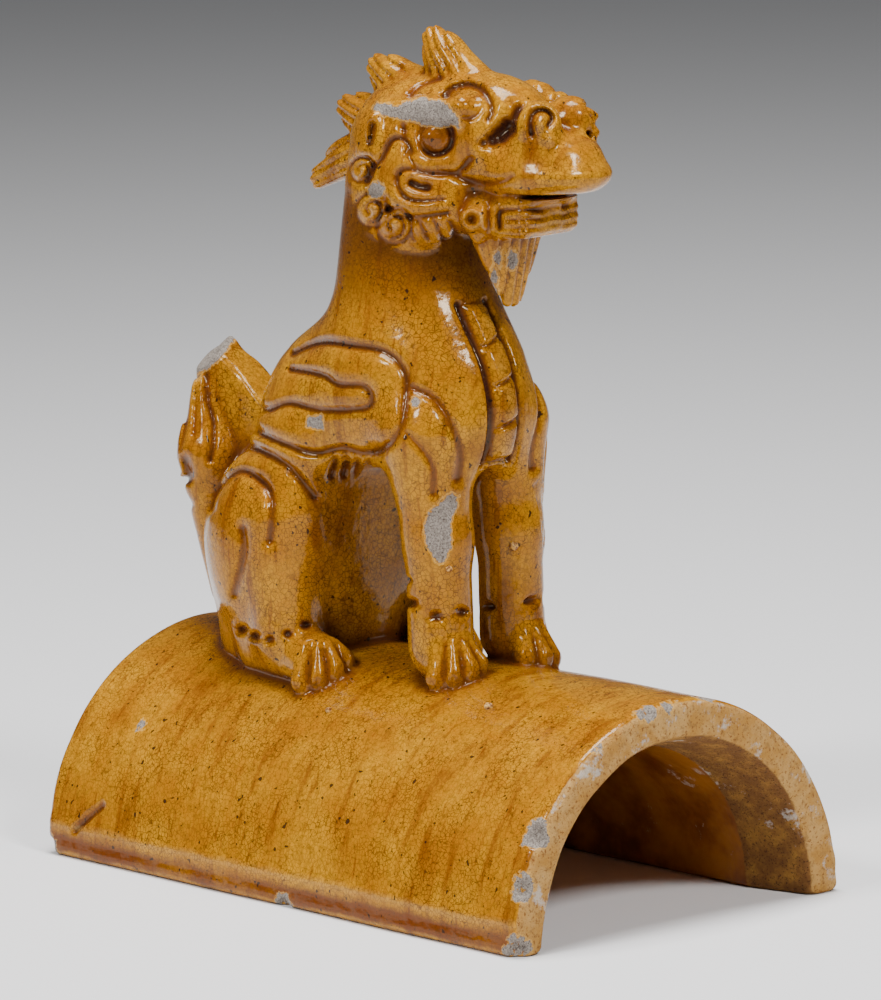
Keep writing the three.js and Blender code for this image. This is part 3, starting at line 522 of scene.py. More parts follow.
CURL_DEPTH, CURL_RING, CURL_BOSS = 2.3, 1.8, 1.9


def curl(a, b, ca, cb, radius):
    """A boss with a cut that winds in to its middle, and a cut round it."""
    out = np.hypot(a - ca, b - cb)
    turn = np.arctan2(b - cb, a - ca) / (2 * np.pi)
    winding = out - radius * (0.78 - 0.5 * ((turn + 0.3) % 1))
    boss = CURL_BOSS * near(out, radius * 1.35)
    ring = CURL_RING * near(out - radius - 0.6, 1.4)
    return CURL_DEPTH * near(winding, 1.3) * (out < radius) + ring - boss


def head_carving(x, y, z):
    """The carving of the head's right side, at points in the head's own frame."""
    wx = HEAD_AT[0] + x * math.cos(HEAD_TURN) - y * math.sin(HEAD_TURN)
    wy = x * math.sin(HEAD_TURN) + y * math.cos(HEAD_TURN)
    a, b = quarter_view(wx, wy, z + HEAD_AT[2])
    cut = carved(a, b, HEAD_LINES)
    turned = np.clip((a - EYE_VIEW[0] - b + EYE_VIEW[1] + 6) / 9, 0.2, 1)
    cut = cut + EYE_RING_DEPTH * turned * near(away(a, b, EYE_VIEW) - EYE_RING, 2.0)
    for ca, cb, radius in HAIR_CURLS:
        cut = cut + curl(a, b, ca, cb, radius)
    boss = away(a, b, BROW_BOSS)
    cut = cut - BROW_BOSS_RISE * near(boss, 5.5) + 0.8 * near(boss - 5, 1.4) * above(262 - b, 0, 4)
    for spot in NOSE_BOSSES:
        cut = cut - NOSE_BOSS_RISE * near(away(a, b, spot), spot[2] * 1.3)
    hole = np.hypot(a - FANG[0] + 0.4, b - FANG[1] - 0.6)
    cut = cut - FANG_RISE * near(away(a, b, FANG) - 2.9, FANG_HALF) + 0.3 * near(hole, 2)
    hair = above(a, -9, 1) * above(9 - a, 0, 1) * above(222.5 - b, 0, 1.2) * above(b, 214.5, 1.5)
    cut = cut + CHIN_HAIR_DEPTH * hair * ribs(a * 0.9 + (b - 220) * 0.45, CHIN_HAIR)
    chip = away(a, b, CHEEK_CHIP) - CHEEK_CHIP[2]
    return (cut + HEAD_CHIP_DEPTH * above(-chip, -0.4, 0.8)) * above(-y, 3, 4)


def head_cut(x, y, z):
    """The carving of both sides of the head, left off the far corner of the jaw."""
    far_corner = above(y, 6, 3) * above(x, 50, 5) * above(-3 - z, 0, 1)
    return head_carving(x, -np.abs(y), z) * (1 - far_corner)


def jaw_lines(x, y, z):
    """The three grooves that run round the front of the jaw."""
    front = above(x, 58, 2) * above(-3.5 - z, 0, 1) * above(z, -16, 1)
    return JAW_LINE_DEPTH * front * (0.5 + 0.5 * np.cos(2 * np.pi * (z + 8.85) / JAW_LINE_STEP))


def head_form(x, y, z):
    """The head in its own frame: its right brow broken off, its left brow whole."""
    side = -np.abs(y)
    d = skull(x, y, z)
    for form, fillet, paired in HEAD_FORMS:
        d = soft_min(d, form(x, side if paired else y, z), fillet)
    d = soft_min(d, jaw(x, y, z) + jaw_lines(x, y, z), 3)
    gape = np.abs(z - SLIT_HEIGHT) - SLIT_HALF
    slit = np.maximum(np.maximum(gape, -mouth_core(x, y, z)), SLIT_FROM - x)
    d = soft_max(d, -slit, 1.2)
    strand = ribs(y * (1 - 0.012 * (z + 10)) + 1, BEARD_STRAND) ** 1.3
    beard = wide_beard(x, y * BEARD_NARROWING, z) + BEARD_STRAND_DEPTH * strand * above(-15 - z, 0, 3)
    d = soft_min(d, beard, 2)
    stump = np.maximum(brow_stump(x, y, z), -y - BROW_BREAK + 0.5 * ripple(x, y, z, 2.1))
    flame = brow_flame(x, side, z) + FLAME_RIB_DEPTH * ribs(x + 0.8 * z, FLAME_RIB) ** 1.6
    d = soft_min(d, np.where(y < 0, stump, flame), 2)
    d = soft_min(d, soft_max(ear(x, side, z), -ear_hollow(x, side, z), 1), 1.5)
    skin = np.abs(d) < HEAD_SKIN
    if skin.any():
        d[skin] += head_cut(x[skin], y[skin], z[skin])
    d = soft_min(d, eyeball(x, side, z), 0.6)
    d = soft_max(d, -far_nostril(x, y, z), 1)
    for lengths in TUFTS:
        d = soft_min(d, tuft(x, y, z, *lengths), 2.5)
    return d


def head_frame(x, y, z):
    """Points of the piece in the head's frame."""
    c, s = math.cos(HEAD_TURN), math.sin(HEAD_TURN)
    dx, dy = x - HEAD_AT[0], y - HEAD_AT[1]
    return dx * c + dy * s, dy * c - dx * s, z - HEAD_AT[2]


def head(x, y, z):
    """The head in its place."""
    return head_form(*head_frame(x, y, z))


def arch(y, z, width, height):
    """A half-round vault that runs along x."""
    return oval((y / width, z / height), (width, height))


SCRATCH = limb((-105, -74.3, 10.3), (-93, -72.3, 20.3))
SCRATCH_DEPTH, SCRATCH_HALF = 2.4, 2.2
CHIP_SLOPE, CHIP_LIFT = 0.32, 0.4


def tile(x, y, z, s):
    """The half-round tile: its wall cut back inside the front, its edges knocked and its skin uneven."""
    half, wide, high = s.length * 500, s.width * 500, s.height * 1000
    thin = np.clip((x - half + s.bevel * 1000) / (s.bevel * 1000), 0, 1) * (s.wall - s.lip_wall) * 1000
    wall = s.wall * 1000 - thin
    swell = 0.5 * near(z - 11, 5) + 0.4 * near(z - 2.5, 4)
    outer = arch(y, z, wide, high) + 0.35 * ripple(x, y, z, 17) - swell
    outer = outer + SCRATCH_DEPTH * near(SCRATCH(x, y, z), SCRATCH_HALF)
    inner = arch(y, z, wide - wall, high - wall) + 0.4 * ripple(x, y, z, 9)
    d = soft_max(outer, -inner, 2)
    d = soft_max(d, np.abs(x) - half + 0.3 * ripple(x, y, z, 6), s.arris * 1000)
    d = soft_max(d, -z, s.arris * 700)
    for (cx, cy, cz), radius in TILE_CHIPS:
        gap = np.sqrt((x - cx) ** 2 + (y - cy) ** 2 + (z - cz) ** 2) + 0.4 * ripple(x, y, z, 1.6)
        d = np.where(gap < radius, soft_max(d, CHIP_SLOPE * (radius - gap) - CHIP_LIFT, 0.5), d)
    return d


# How deep the beast reaches into the tile's wall.
LUTE_DEPTH = 4
# Where the body, the head and the tile are worked out.
BODY_FOOT, BODY_HALF_WIDTH = 55, 70
HEAD_FOOT, HEAD_HALF_WIDTH = 188, 60
TILE_REACH = 95


def clay(settings):
    """The whole piece: the beast luted to its tile."""
    def field(x, y, z):
        low = z < BODY_TOP
        d = only((np.abs(y) < BODY_HALF_WIDTH) & (z > BODY_FOOT) & low, body, x, y, z)
        d = np.where(low, d, neck(x, y, z))
        d = soft_min(d, only((z > HEAD_FOOT) & (np.abs(y) < HEAD_HALF_WIDTH), head, x, y, z), 5)
        ground = arch(y, z, settings.width * 500, settings.height * 1000)
        d = np.maximum(d, -(ground + LUTE_DEPTH))
        return soft_min(d, only(z < TILE_REACH, lambda *p: tile(*p, settings), x, y, z), 2.2)
    return field


# Meshing. The field is worked out block by block, a batch of blocks at a time, and only in the blocks whose
# middle is within reach of the skin: half a block's diagonal, and half as much again, because a form gives
# only about the distance. Values are clipped a few cells from the skin.
BLOCK = 8
BATCH = 1500
HALF_DIAGONAL, REACH_SPARE = 0.87, 1.5
CLIP_CELLS = 3


def sample(field, low, high, cell):
    """The field on a grid, worked out only near the skin."""
    counts = [int(math.ceil((h - l) / cell / BLOCK)) * BLOCK for l, h in zip(low, high)]
    blocks = [n // BLOCK for n in counts]
    spots = np.indices(blocks).reshape(3, -1).T
    centres = (spots * BLOCK + (BLOCK - 1) / 2) * cell + low
    middle = field(*[centres[:, n].astype(np.float32) for n in range(3)])
    clip = CLIP_CELLS * cell
    grid = (np.sign(middle) * clip).reshape(blocks).astype(np.float32)
    for axis in range(3):
        grid = np.repeat(grid, BLOCK, axis)
    reach = BLOCK * cell * HALF_DIAGONAL * REACH_SPARE + 1
    active = spots[np.abs(middle) < reach]
    inner = np.indices((BLOCK,) * 3).reshape(3, -1).T
    for first in range(0, len(active), BATCH):
        group = active[first:first + BATCH]
        at = group[:, None, :] * BLOCK + inner[None, :, :]
        place = (at.reshape(-1, 3) * cell + low).astype(np.float32)
        values = np.clip(field(place[:, 0], place[:, 1], place[:, 2]), -clip, clip)
        index = at.reshape(-1, 3)
        grid[index[:, 0], index[:, 1], index[:, 2]] = values
    return grid


def skin_mesh(name, field, low, high, cell):
    """Walls a field with faces. Gives the mesh, in metres, and the sampled grid."""
    low = np.array(low, float)
    values = sample(field, low, np.array(high, float), cell)
    grid = openvdb.FloatGrid(CLIP_CELLS * cell)
    grid.copyFromArray(values)
    points, quads = grid.convertToQuads(isovalue=0.0)
    points = (points * cell + low) / 1000
    mesh = bpy.data.meshes.new(name)
    mesh.vertices.add(len(points))
    mesh.vertices.foreach_set("co", points.astype(np.float32).ravel())
    mesh.loops.add(quads.size)
    mesh.loops.foreach_set("vertex_index", quads.astype(np.int32).ravel())
    mesh.polygons.add(len(quads))
    mesh.polygons.foreach_set("loop_start", np.arange(0, quads.size, 4, dtype=np.int32))
    mesh.update(calc_edges=True)
    corners = points[quads]
    cross = np.cross(corners[:, 2] - corners[:, 0], corners[:, 3] - corners[:, 1])
    if (corners.mean(1) * cross).sum() < 0:
        mesh.flip_normals()
    return mesh, values


def box_mean(grid, reach):
    """The grid averaged over a cube that reaches this many cells each way."""
    for axis in range(3):
        turned = np.moveaxis(grid, axis, 0)
        total = np.cumsum(turned, axis=0, dtype=np.float32)
        mean = turned.copy()
        mean[reach + 1:-reach] = (total[2 * reach + 1:] - total[:-2 * reach - 1]) / (2 * reach + 1)
        grid = np.moveaxis(mean, 0, axis)
    return grid


def read_grid(grid, places):
    """The grid's values at places counted in cells, each mixed from the eight round it."""
    base = np.floor(places).astype(int)
    part = places - base
    out = np.zeros(len(places), np.float32)
    for corner in np.indices((2, 2, 2)).reshape(3, -1).T:
        weight = np.where(corner, part, 1 - part).prod(1)
        at = base + corner
        out += weight * grid[at[:, 0], at[:, 1], at[:, 2]]
    return out


def thinned(obj, triangles):
    """Replaces an object's mesh by one of about the wanted number of triangles."""
    have = sum(len(p.vertices) - 2 for p in obj.data.polygons)
    modifier = obj.modifiers.new("Thin", "DECIMATE")
    modifier.ratio = min(triangles / have, 1)
    modifier.use_collapse_triangulate = True
    bake_modifiers(obj)


def bake_modifiers(obj):
    """Applies an object's modifiers."""
    depsgraph = bpy.context.evaluated_depsgraph_get()
    mesh = bpy.data.meshes.new_from_object(obj.evaluated_get(depsgraph), depsgraph=depsgraph)
    obj.modifiers.clear()
    obj.data = mesh


def skin_points(mesh):
    """A mesh's points, in millimetres."""
    points = np.empty(len(mesh.vertices) * 3, np.float32)
    mesh.vertices.foreach_get("co", points)
    return points.reshape(-1, 3) * 1000


def write_attribute(mesh, name, values):
    """Keeps a value at each of a mesh's points."""
    layer = mesh.attributes.new(name, "FLOAT", "POINT")
    layer.data.foreach_set("value", values.astype(np.float32))


def eye_shade(points):
    """1 at the middle of each eye, falling to 0 round it."""
    x, y, z = head_frame(*points.T)
    gap = np.sqrt((x - EYE_AT[0]) ** 2 + (np.abs(y) + EYE_AT[1] - 3) ** 2 + (z - EYE_AT[2]) ** 2)
    return near(gap, 9)


# Over this height the skin is the beast's, and behind this place it is the tail's.
TILE_CREST, TAIL_MARK = 82, -75


def carving_depth(points):
    """How deep the carving is cut at points on the skin, in millimetres, and which of them are on the head.

    The depth is below 0 on ridges.
    """
    x, y, z = points.T
    on_head = z > HEAD_FOOT
    on_head[on_head] = np.abs(head(x[on_head], y[on_head], z[on_head])) < 2.5
    on_body = (z > TILE_CREST) & ~on_head
    on_tail = on_body & (x < TAIL_MARK)
    depth = 3 * near(SCRATCH(x, y, z), 2.4)
    depth[on_head] = head_cut(*head_frame(x[on_head], y[on_head], z[on_head]))
    bx, by, bz = x[on_body], y[on_body], z[on_body]
    depth[on_body] = body_carving(bx, -np.abs(by), bz) + band_carving(bx, by, bz)
    tx, ty, tz = x[on_tail], y[on_tail], z[on_tail]
    depth[on_tail] = carved(*quarter_view(tx, ty, tz), TAIL_LINES) * above(-ty, 4, 5)
    return depth, on_head


# Added to the distance to a chip or a break, away from where it lies.
ELSEWHERE = 30
BREAK_HALF = 1.3


def bare_clay(points):
    """The distance to the beast's nearest bare clay, negative on it: its breaks and its chips."""
    x, y, z = points.T
    a, b = quarter_view(x, y, z)
    bare = np.minimum(outline_distance(a, b, FORELEG_CHIP, 6), outline_distance(a, b, WING_CHIP, 6))
    for spot in (SHOULDER_CHIP, CHEEK_CHIP):
        bare = np.minimum(bare, away(a, b, spot) - spot[2])
    bare = bare + np.where((y < 2) & (z > 90), 0, ELSEWHERE)
    hy = head_frame(x, y, z)[1]
    scar = outline_distance(a, b, BROW_SCAR, 6) + np.where(hy < -14, 0, ELSEWHERE)
    bare = np.minimum(bare, scar)
    beard = np.min([np.hypot(a - ca, (b - cb) * 0.5) - r for ca, cb, r in BEARD_CHIPS], axis=0)
    bare = np.minimum(bare, beard + np.where((x > 28) & (z < 226), 0, ELSEWHERE))
    broken = np.abs(beside(BREAK_NORMAL, x, y, z)) - BREAK_HALF
    return np.minimum(bare, broken + np.where((x < -70) & (z > 150), 0, ELSEWHERE))


# Materials. Shader maths is written as expressions on sockets.

class Value:
    """Wraps a socket, so that arithmetic on it adds Math nodes."""

    def __init__(self, maker, socket):
        self.maker, self.socket = maker, socket

    def _math(self, operation, *operands):
        return self.maker.node("ShaderNodeMath", {"operation": operation}, *operands)

    def __add__(self, other):
        return self._math("ADD", self, other)

    def __radd__(self, other):
        return self._math("ADD", other, self)

    def __sub__(self, other):
        return self._math("SUBTRACT", self, other)

    def __rsub__(self, other):
        return self._math("SUBTRACT", other, self)

    def __mul__(self, other):
        return self._math("MULTIPLY", self, other)

    def __rmul__(self, other):
        return self._math("MULTIPLY", other, self)

    def __truediv__(self, other):
        return self._math("DIVIDE", self, other)

    def __pow__(self, other):
        return self._math("POWER", self, other)


class Finish:
    """A material in the making."""

    def __init__(self, name):
        self.material = bpy.data.materials.new(name)
        self.material.use_nodes = True
        self.tree = self.material.node_tree
        self.shader = self.tree.nodes["Principled BSDF"]
        self.place = self.node("ShaderNodeTexCoord", {}, out="Object")
        apart = self.node("ShaderNodeSeparateXYZ", {}, self.place).socket.node
        self.x, self.y, self.z = (Value(self, socket) * 1000 for socket in apart.outputs)

    def node(self, kind, settings, *inputs, out=0, **named):
        """Adds a node with its settings and inputs, by number or name, and gives one of its outputs."""
        node = self.tree.nodes.new(kind)
        for key, value in settings.items():
            setattr(node, key, value)
        pairs = list(enumerate(inputs)) + [(key.replace("_", " "), value) for key, value in named.items()]
        for key, value in pairs:
            self.plug(node.inputs[key], value)
        return Value(self, node.outputs[out])

    def plug(self, socket, value):
        """Links a value to a socket, or sets it there."""
        if isinstance(value, Value):
            self.tree.links.new(value.socket, socket)
        elif value is not None:
            socket.default_value = value

    def attribute(self, name):
        """What is kept at the mesh's points under a name."""
        return self.node("ShaderNodeAttribute", {"attribute_name": name}, out="Fac")

    def noise(self, scale, detail=2.0, roughness=0.5, place=None):
        """Noise between 0 and 1, finer with a larger scale."""
        return self.node("ShaderNodeTexNoise", {}, Vector=place or self.place, Scale=scale, Detail=detail,
                         Roughness=roughness, out="Fac")

    def stretched(self, scale):
        """Places scaled by three amounts, so that a noise runs into streaks."""
        return self.node("ShaderNodeMapping", {}, Vector=self.place, Scale=scale)

    def least(self, first, second):
        """The smaller of two values."""
        return self.node("ShaderNodeMath", {"operation": "MINIMUM"}, first, second)

    def size(self, value):
        """A value without its sign."""
        return self.node("ShaderNodeMath", {"operation": "ABSOLUTE"}, value)

    def from_point(self, point):
        """How many millimetres away a point is, itself in millimetres."""
        metres = tuple(v / 1000 for v in point)
        gap = self.node("ShaderNodeVectorMath", {"operation": "DISTANCE"}, self.place, metres, out="Value")
        return gap * 1000

    def step(self, value, low, high):
        """0 below low, 1 above high, and smooth between them."""
        smooth = {"interpolation_type": "SMOOTHSTEP"}
        return self.node("ShaderNodeMapRange", smooth, value, low, high, 0.0, 1.0)

    def _mixed(self, data_type, kind, factor, first, second):
        node = self.tree.nodes.new("ShaderNodeMix")
        node.data_type = data_type
        sockets = {socket.identifier: socket for socket in node.inputs}
        for key, value in (("Factor_Float", factor), ("A_" + kind, first), ("B_" + kind, second)):
            self.plug(sockets[key], value)
        result = "Result_" + kind
        return Value(self, next(socket for socket in node.outputs if socket.identifier == result))

    def mix(self, factor, first, second):
        """Mixes two colours."""
        colours = ((*tone, 1) if isinstance(tone, tuple) else tone for tone in (first, second))
        return self._mixed("RGBA", "Color", factor, *colours)

    def mix_normals(self, factor, first, second):
        """Mixes two normals."""
        return self._mixed("VECTOR", "Vector", factor, first, second)

    def bump(self, height, strength, distance):
        """The normal of a surface that this height stands on."""
        return self.node("ShaderNodeBump", {}, Strength=strength, Distance=distance, Height=height,
                         out="Normal")

    def finish(self, **sockets):
        """Plugs the values into the shader, and gives the material."""
        for key, value in sockets.items():
            self.plug(self.shader.inputs[key.replace("_", " ")], value)
        return self.material


# The other coats of the tile. Each starts from a colour, and more are laid over it in the patches of a noise:
# the colour, the noise's scale, detail and roughness, where a patch begins and is full, and how it covers.
INNER_WASH = ("wash", [
    ("russet", 50, 4, 0.6, 0.35, 0.7, 1.0),
    ("mortar", 65, 5, 0.75, 0.62, 0.7, 0.6),
])
END_FACE = ("biscuit", [
    ("biscuit_pale", 120, 4, 0.6, 0.35, 0.65, 1.0),
    ("bare_brown", 380, 4, 0.7, 0.5, 0.66, 0.5),
    ("russet", 950, 3, 0.5, 0.57, 0.66, 0.7),
    ("mortar", 75, 5, 0.72, 0.56, 0.64, 0.75),
])
BEVEL = ("bare_brown", [
    ("biscuit", 140, 4, 0.65, 0.38, 0.8, 1.0),
    ("pooled", 1300, 3, 0.5, 0.56, 0.66, 0.7),
    ("mortar", 62, 5, 0.72, 0.6, 0.66, 0.7),
])
# Where the dry end face begins and is full, in from the tile's end, and how high it reaches.
END_FACE_FROM, END_FACE_FULL = 1.6, 1.0
END_FACE_TOP = 79
SHEEN_DRY = 0.85
GLAZE_REFLECTION = {"IOR": 1.5, "Specular_IOR_Level": 0.3, "Specular_Tint": (1, 0.86, 0.62, 1)}


def laid_over(m, s, coat):
    """The colour of a coat, with its patches."""
    base, layers = coat
    tone = tuple(getattr(s, base))
    for name, scale, detail, roughness, low, high, cover in layers:
        patches = m.step(m.noise(scale, detail, roughness), low, high)
        tone = m.mix(patches * cover, tone, tuple(getattr(s, name)))
    return tone


def glazed_clay(s, tile_sizes):
    """Honey glaze, with other coats under the arch and at the ends, and bare clay where it's lost."""
    m = Finish("amber_glaze")
    half, wall = tile_sizes.length * 500, tile_sizes.wall * 1000
    bevel_start = half - tile_sizes.bevel * 1000
    middle_y, middle_z = tile_sizes.width * 500 - wall / 2, tile_sizes.height * 1000 - wall / 2
    under = (m.y / middle_y) ** 2.0 + (m.z / middle_z) ** 2.0
    inside = 1 - m.step(under, 0.97, 1.0)
    ragged = m.noise(420, 3, 0.6) - 0.5
    end_face = m.step(m.size(m.x) + ragged, half - END_FACE_FROM, half - END_FACE_FULL)
    end_face = end_face * (1 - m.step(m.z, END_FACE_TOP, END_FACE_TOP + 1))
    bevel = inside * m.step(m.x + ragged * 2, bevel_start - 0.5, bevel_start + 0.5)
    amber = glaze_colour(m, s)
    for where, coat in ((inside, INNER_WASH), (bevel, BEVEL), (end_face, END_FACE)):
        amber = m.mix(where, amber, laid_over(m, s, coat))

    uneven = (m.noise(240, 3, 0.6) - 0.5) * 9
    bare = m.attribute("bare") + uneven * 0.3
    for point, radius in TILE_CHIPS:
        bare = m.least(bare, m.from_point(point) - radius + uneven)
    edge = bare + (m.noise(700, 3, 0.6) - 0.5) * 2
    covered = m.step(edge, -0.2, 0.1)
    rim = m.step(edge, 0.0, 0.25) * (1 - m.step(edge, 0.3, 0.8))
    grain = m.noise(1500, 3, 0.7)
    body = m.mix(m.step(grain, 0.35, 0.65), tuple(s.clay_dark), tuple(s.clay))
    body = m.mix(m.step(m.noise(2300, 1), 0.64, 0.7), body, tuple(s.speck))
    colour = m.mix(covered, body, amber)
    colour = m.mix(rim * 0.55, colour, tuple(s.thin_glaze))

    glassy = covered * (1 - m.step(bevel + end_face, 0.2, 0.8))
    waves = m.noise(330, 2, 0.5) * 0.35 + m.noise(90, 2, 0.5)
    smooth = m.bump(waves, 0.4, 0.001)
    rough = m.bump(grain + m.noise(480, 4, 0.7) * 1.5, 0.8, 0.0008)
    normal = m.mix_normals(glassy, rough, smooth)
    sheen = SHEEN_DRY - glassy * (SHEEN_DRY - s.gloss) + glassy * (m.noise(40, 3) - 0.5) * 0.06
    sheen = sheen + inside * glassy * 0.2
    return m.finish(Base_Color=colour, Roughness=sheen, Normal=normal, **GLAZE_REFLECTION)


# How much a millimetre of carving counts as hollow.
CARVING_SHARE = 0.075
# A darker band of glaze along the foot of the tile and a paler line over it: the heights where each fades in
# and fades out.
FOOT_BAND = (1.0, 2.4, 6, 9)
PALE_LINE = (8.5, 10.5, 11, 13)


def glaze_colour(m, s):
    """The honey glaze: mottled, streaked the way it ran, thin on the ridges and dark where it pools in
    hollows. Painted shade makes it darker still in broad hollows and under the head.
    """
    fine_hollow = m.attribute("fine_hollow") + m.attribute("carving") * CARVING_SHARE
    broad_hollow = m.attribute("broad_hollow")
    cloud = m.noise(38, 5, 0.66)
    fine = m.noise(520, 4, 0.65)
    streak = m.noise(1.0, 5, 0.62, place=m.stretched((170, 60, 22)))
    lines = m.noise(1.0, 3, 0.5, place=m.stretched((620, 200, 60)))
    amber = tuple(s.amber)
    # What a colour follows, where it begins and is full, how strongly it covers, and the colour.
    for follows, low, high, cover, tone in (
            (cloud, 0.33, 0.7, 1.0, s.honey),
            (fine, 0.4, 0.7, 0.6, s.olive),
            (streak, 0.48, 0.72, 0.72, s.russet),
            (lines, 0.6, 0.72, 0.55, s.russet),
            # Broad hollows turn russet: partly glaze pooled there, partly painted shade.
            (broad_hollow + (cloud - 0.5) * 0.3, 0.0, 0.35, 0.45, s.russet),
            ((cloud - 0.5) * 0.25 - fine_hollow, 0.06, 0.26, 0.75, s.thin_glaze),
            (fine_hollow + (fine - 0.5) * 0.1, 0.03, 0.2, 0.7, s.russet),
            (fine_hollow + (cloud - 0.5) * 0.2, 0.13, 0.5, 0.9, s.pooled),
            # Broad hollows turn darker still: pooled glaze and painted shade.
            (broad_hollow + (cloud - 0.5) * 0.2, 0.12, 0.5, 0.6, s.pooled)):
        amber = m.mix(m.step(follows, low, high) * cover, amber, tuple(tone))
    side = m.step(m.size(m.y), 60, 66) * (1 - m.step(m.z, 20, 30))
    height = m.z + (m.noise(60, 3, 0.6) - 0.5) * 5
    band, pale = (m.step(height, first, second) * (1 - m.step(height, third, fourth)) * side
                  for first, second, third, fourth in (FOOT_BAND, PALE_LINE))
    amber = m.mix(pale * 0.2, amber, tuple(s.thin_glaze))
    amber = m.mix(band * (0.45 + m.step(m.noise(32, 3, 0.6), 0.3, 0.55) * 0.5), amber, tuple(s.russet))
    cells = m.node("ShaderNodeTexVoronoi", {"feature": "DISTANCE_TO_EDGE"}, Vector=wobble(m, 300, 0.0006),
                   Scale=s.crackle, out="Distance")
    crack = (1 - m.step(cells, 0.0, 0.11)) * (0.45 + m.step(m.noise(60, 2), 0.4, 0.62) * 0.4)
    amber = m.mix(crack, amber, tuple(s.crack))
    specks = m.step(m.noise(1150, 2, 0.5), 0.625, 0.69) * m.step(m.noise(70, 3), 0.35, 0.58)
    spots = m.step(m.noise(420, 1, 0.4), 0.72, 0.75)
    return m.mix(specks * 0.75 + spots * 0.9, amber, tuple(s.speck))


def wobble(m, scale, amount):
    """Object coordinates pushed about a little, so that crackle lines don't run straight."""
    push = m.node("ShaderNodeTexNoise", {}, Vector=m.place, Scale=scale, Detail=2.0, out="Color")
    centred = m.node("ShaderNodeVectorMath", {"operation": "SUBTRACT"}, push, (0.5, 0.5, 0.5))
    shift = m.node("ShaderNodeVectorMath", {"operation": "SCALE"}, centred, Scale=amount * 2)
    return m.node("ShaderNodeVectorMath", {"operation": "ADD"}, m.place, shift)


def kiln_grit_finish(s):
    """Crumbs of clay, glazed thinly and unevenly."""
    m = Finish("kiln_grit")
    tone = m.step(m.noise(900, 2), 0.35, 0.65)
    colour = m.mix(tone, tuple(s.russet), tuple(s.thin_glaze))
    normal = m.bump(m.noise(1400, 3), 0.5, 0.0004)
    return m.finish(Base_Color=colour, Roughness=0.3 + tone * 0.2, Normal=normal)


def floor_finish(s):
    """A dull, nearly even floor."""
    m = Finish("studio_floor")
    tone = m.noise(3, 2)
    colour = m.mix(tone, tuple(s.floor), tuple(c * 0.97 for c in s.floor))
    return m.finish(Base_Color=colour, Roughness=0.7 + tone * 0.1)


# Settings.

def length(name, description, default):
    return FloatProperty(name=name, description=description, default=default, min=0, unit="LENGTH",
                         precision=4)


def colour(name, description, default):
    return FloatVectorProperty(name=name, description=description, default=default, subtype="COLOR", size=3,
                               min=0, max=1)


def power(name, description, default):
    return FloatProperty(name=name, description=description, default=default, min=0, unit="POWER")


class RidgeTileSettings(PropertyGroup):
    """Sizes of the tile, and how finely the clay is worked"""
    length: length("Length", "Length of the tile along the ridge", 0.242)
    width: length("Width", "Width of the tile across its two feet", 0.15)
    height: length("Height", "Height of the tile's crown", 0.076)
    wall: length("Wall", "Thickness of the tile's wall", 0.019)
    lip_wall: length("Lip", "Thickness of the wall at the front end face", 0.013)
    bevel: length("Bevel", "How far in from the front the wall is worn back", 0.026)
    arris: length("Arris", "Rounding of the tile's edges", 0.004)
    cell: length("Cell", "Spacing of the grid that the clay is sampled on", 0.0008)
    triangles: IntProperty(name="Triangles", description="How many triangles the finished skin has",
                           default=194000, min=1, subtype="UNSIGNED")


class RidgeGritSettings(PropertyGroup):
    """The crumbs of kiln grit"""
    crumb: length("Crumb", "Radius of the largest crumbs", 0.0019)
    seed: IntProperty(name="Seed", description="Turns and sizes the crumbs differently", default=4,
                      subtype="UNSIGNED")


class RidgeGlazeSettings(PropertyGroup):
    """Colours and surface of the glaze and the clay"""
    amber: colour("Amber", "The glaze at its usual thickness", (0.37, 0.134, 0.003))
    honey: colour("Honey", "The glaze where it lies lighter", (0.53, 0.24, 0.008))
    olive: colour("Olive", "Small mottles in the glaze", (0.20, 0.085, 0.004))
    russet: colour("Russet", "Red-brown streaks in the glaze", (0.14, 0.03, 0.004))
    thin_glaze: colour("Thin glaze", "The glaze where it has run off a ridge", (0.70, 0.40, 0.10))
    pooled: colour("Pooled", "The glaze where it has pooled", (0.035, 0.011, 0.008))
    crack: colour("Crackle", "The fine lines in the glaze", (0.09, 0.03, 0.004))
    speck: colour("Speck", "Dark specks of iron", (0.02, 0.009, 0.006))
    wash: colour("Inner wash", "The thin brown glaze under the arch", (0.34, 0.115, 0.012))
    mortar: colour("Mortar", "Pale smears left by mortar", (0.52, 0.47, 0.41))
    clay: colour("Clay", "Fresh bare clay on a break", (0.36, 0.315, 0.27))
    clay_dark: colour("Dark clay", "The grain of the bare clay", (0.17, 0.14, 0.12))
    biscuit: colour("Biscuit", "The dry end faces", (0.42, 0.205, 0.042))
    biscuit_pale: colour("Pale biscuit", "The lighter patches of the end faces", (0.52, 0.30, 0.095))
    bare_brown: colour("Bare brown", "The unglazed clay inside the front", (0.18, 0.075, 0.022))
    crackle: FloatProperty(name="Crackle", description="Cells of crackle to the metre", default=620, min=0)
    gloss: FloatProperty(name="Glaze roughness", description="Roughness of the glaze", default=0.15, min=0,
                         max=1, subtype="FACTOR")


class RidgeStudioSettings(PropertyGroup):
    """The floor, the lights and the camera"""
    lens: FloatProperty(name="Lens", description="Focal length in millimetres", default=262.6, min=1,
                        unit="CAMERA")
    camera_at: FloatVectorProperty(name="Camera", description="Place of the camera",
                                   default=(1.8221, -1.6534, 0.5285), subtype="TRANSLATION")
    floor: colour("Floor", "Colour of the floor", (0.86, 0.855, 0.86))
    surround: colour("Surround", "Colour of the light from all round", (0.8, 0.82, 0.85))
    surround_strength: FloatProperty(name="Surround strength", default=0.1, min=0,
                                     description="Strength of the light from all round")
    key: power("Key light", "Power of the soft light on the left", 24)
    fill: power("Fill light", "Power of the soft light on the right", 23)
    top: power("Top light", "Power of the light overhead", 40)


# Pieces.

# The sampled box reaches this far past the tile, and this high.
MARGIN, SAMPLED_TOP = 6, 302
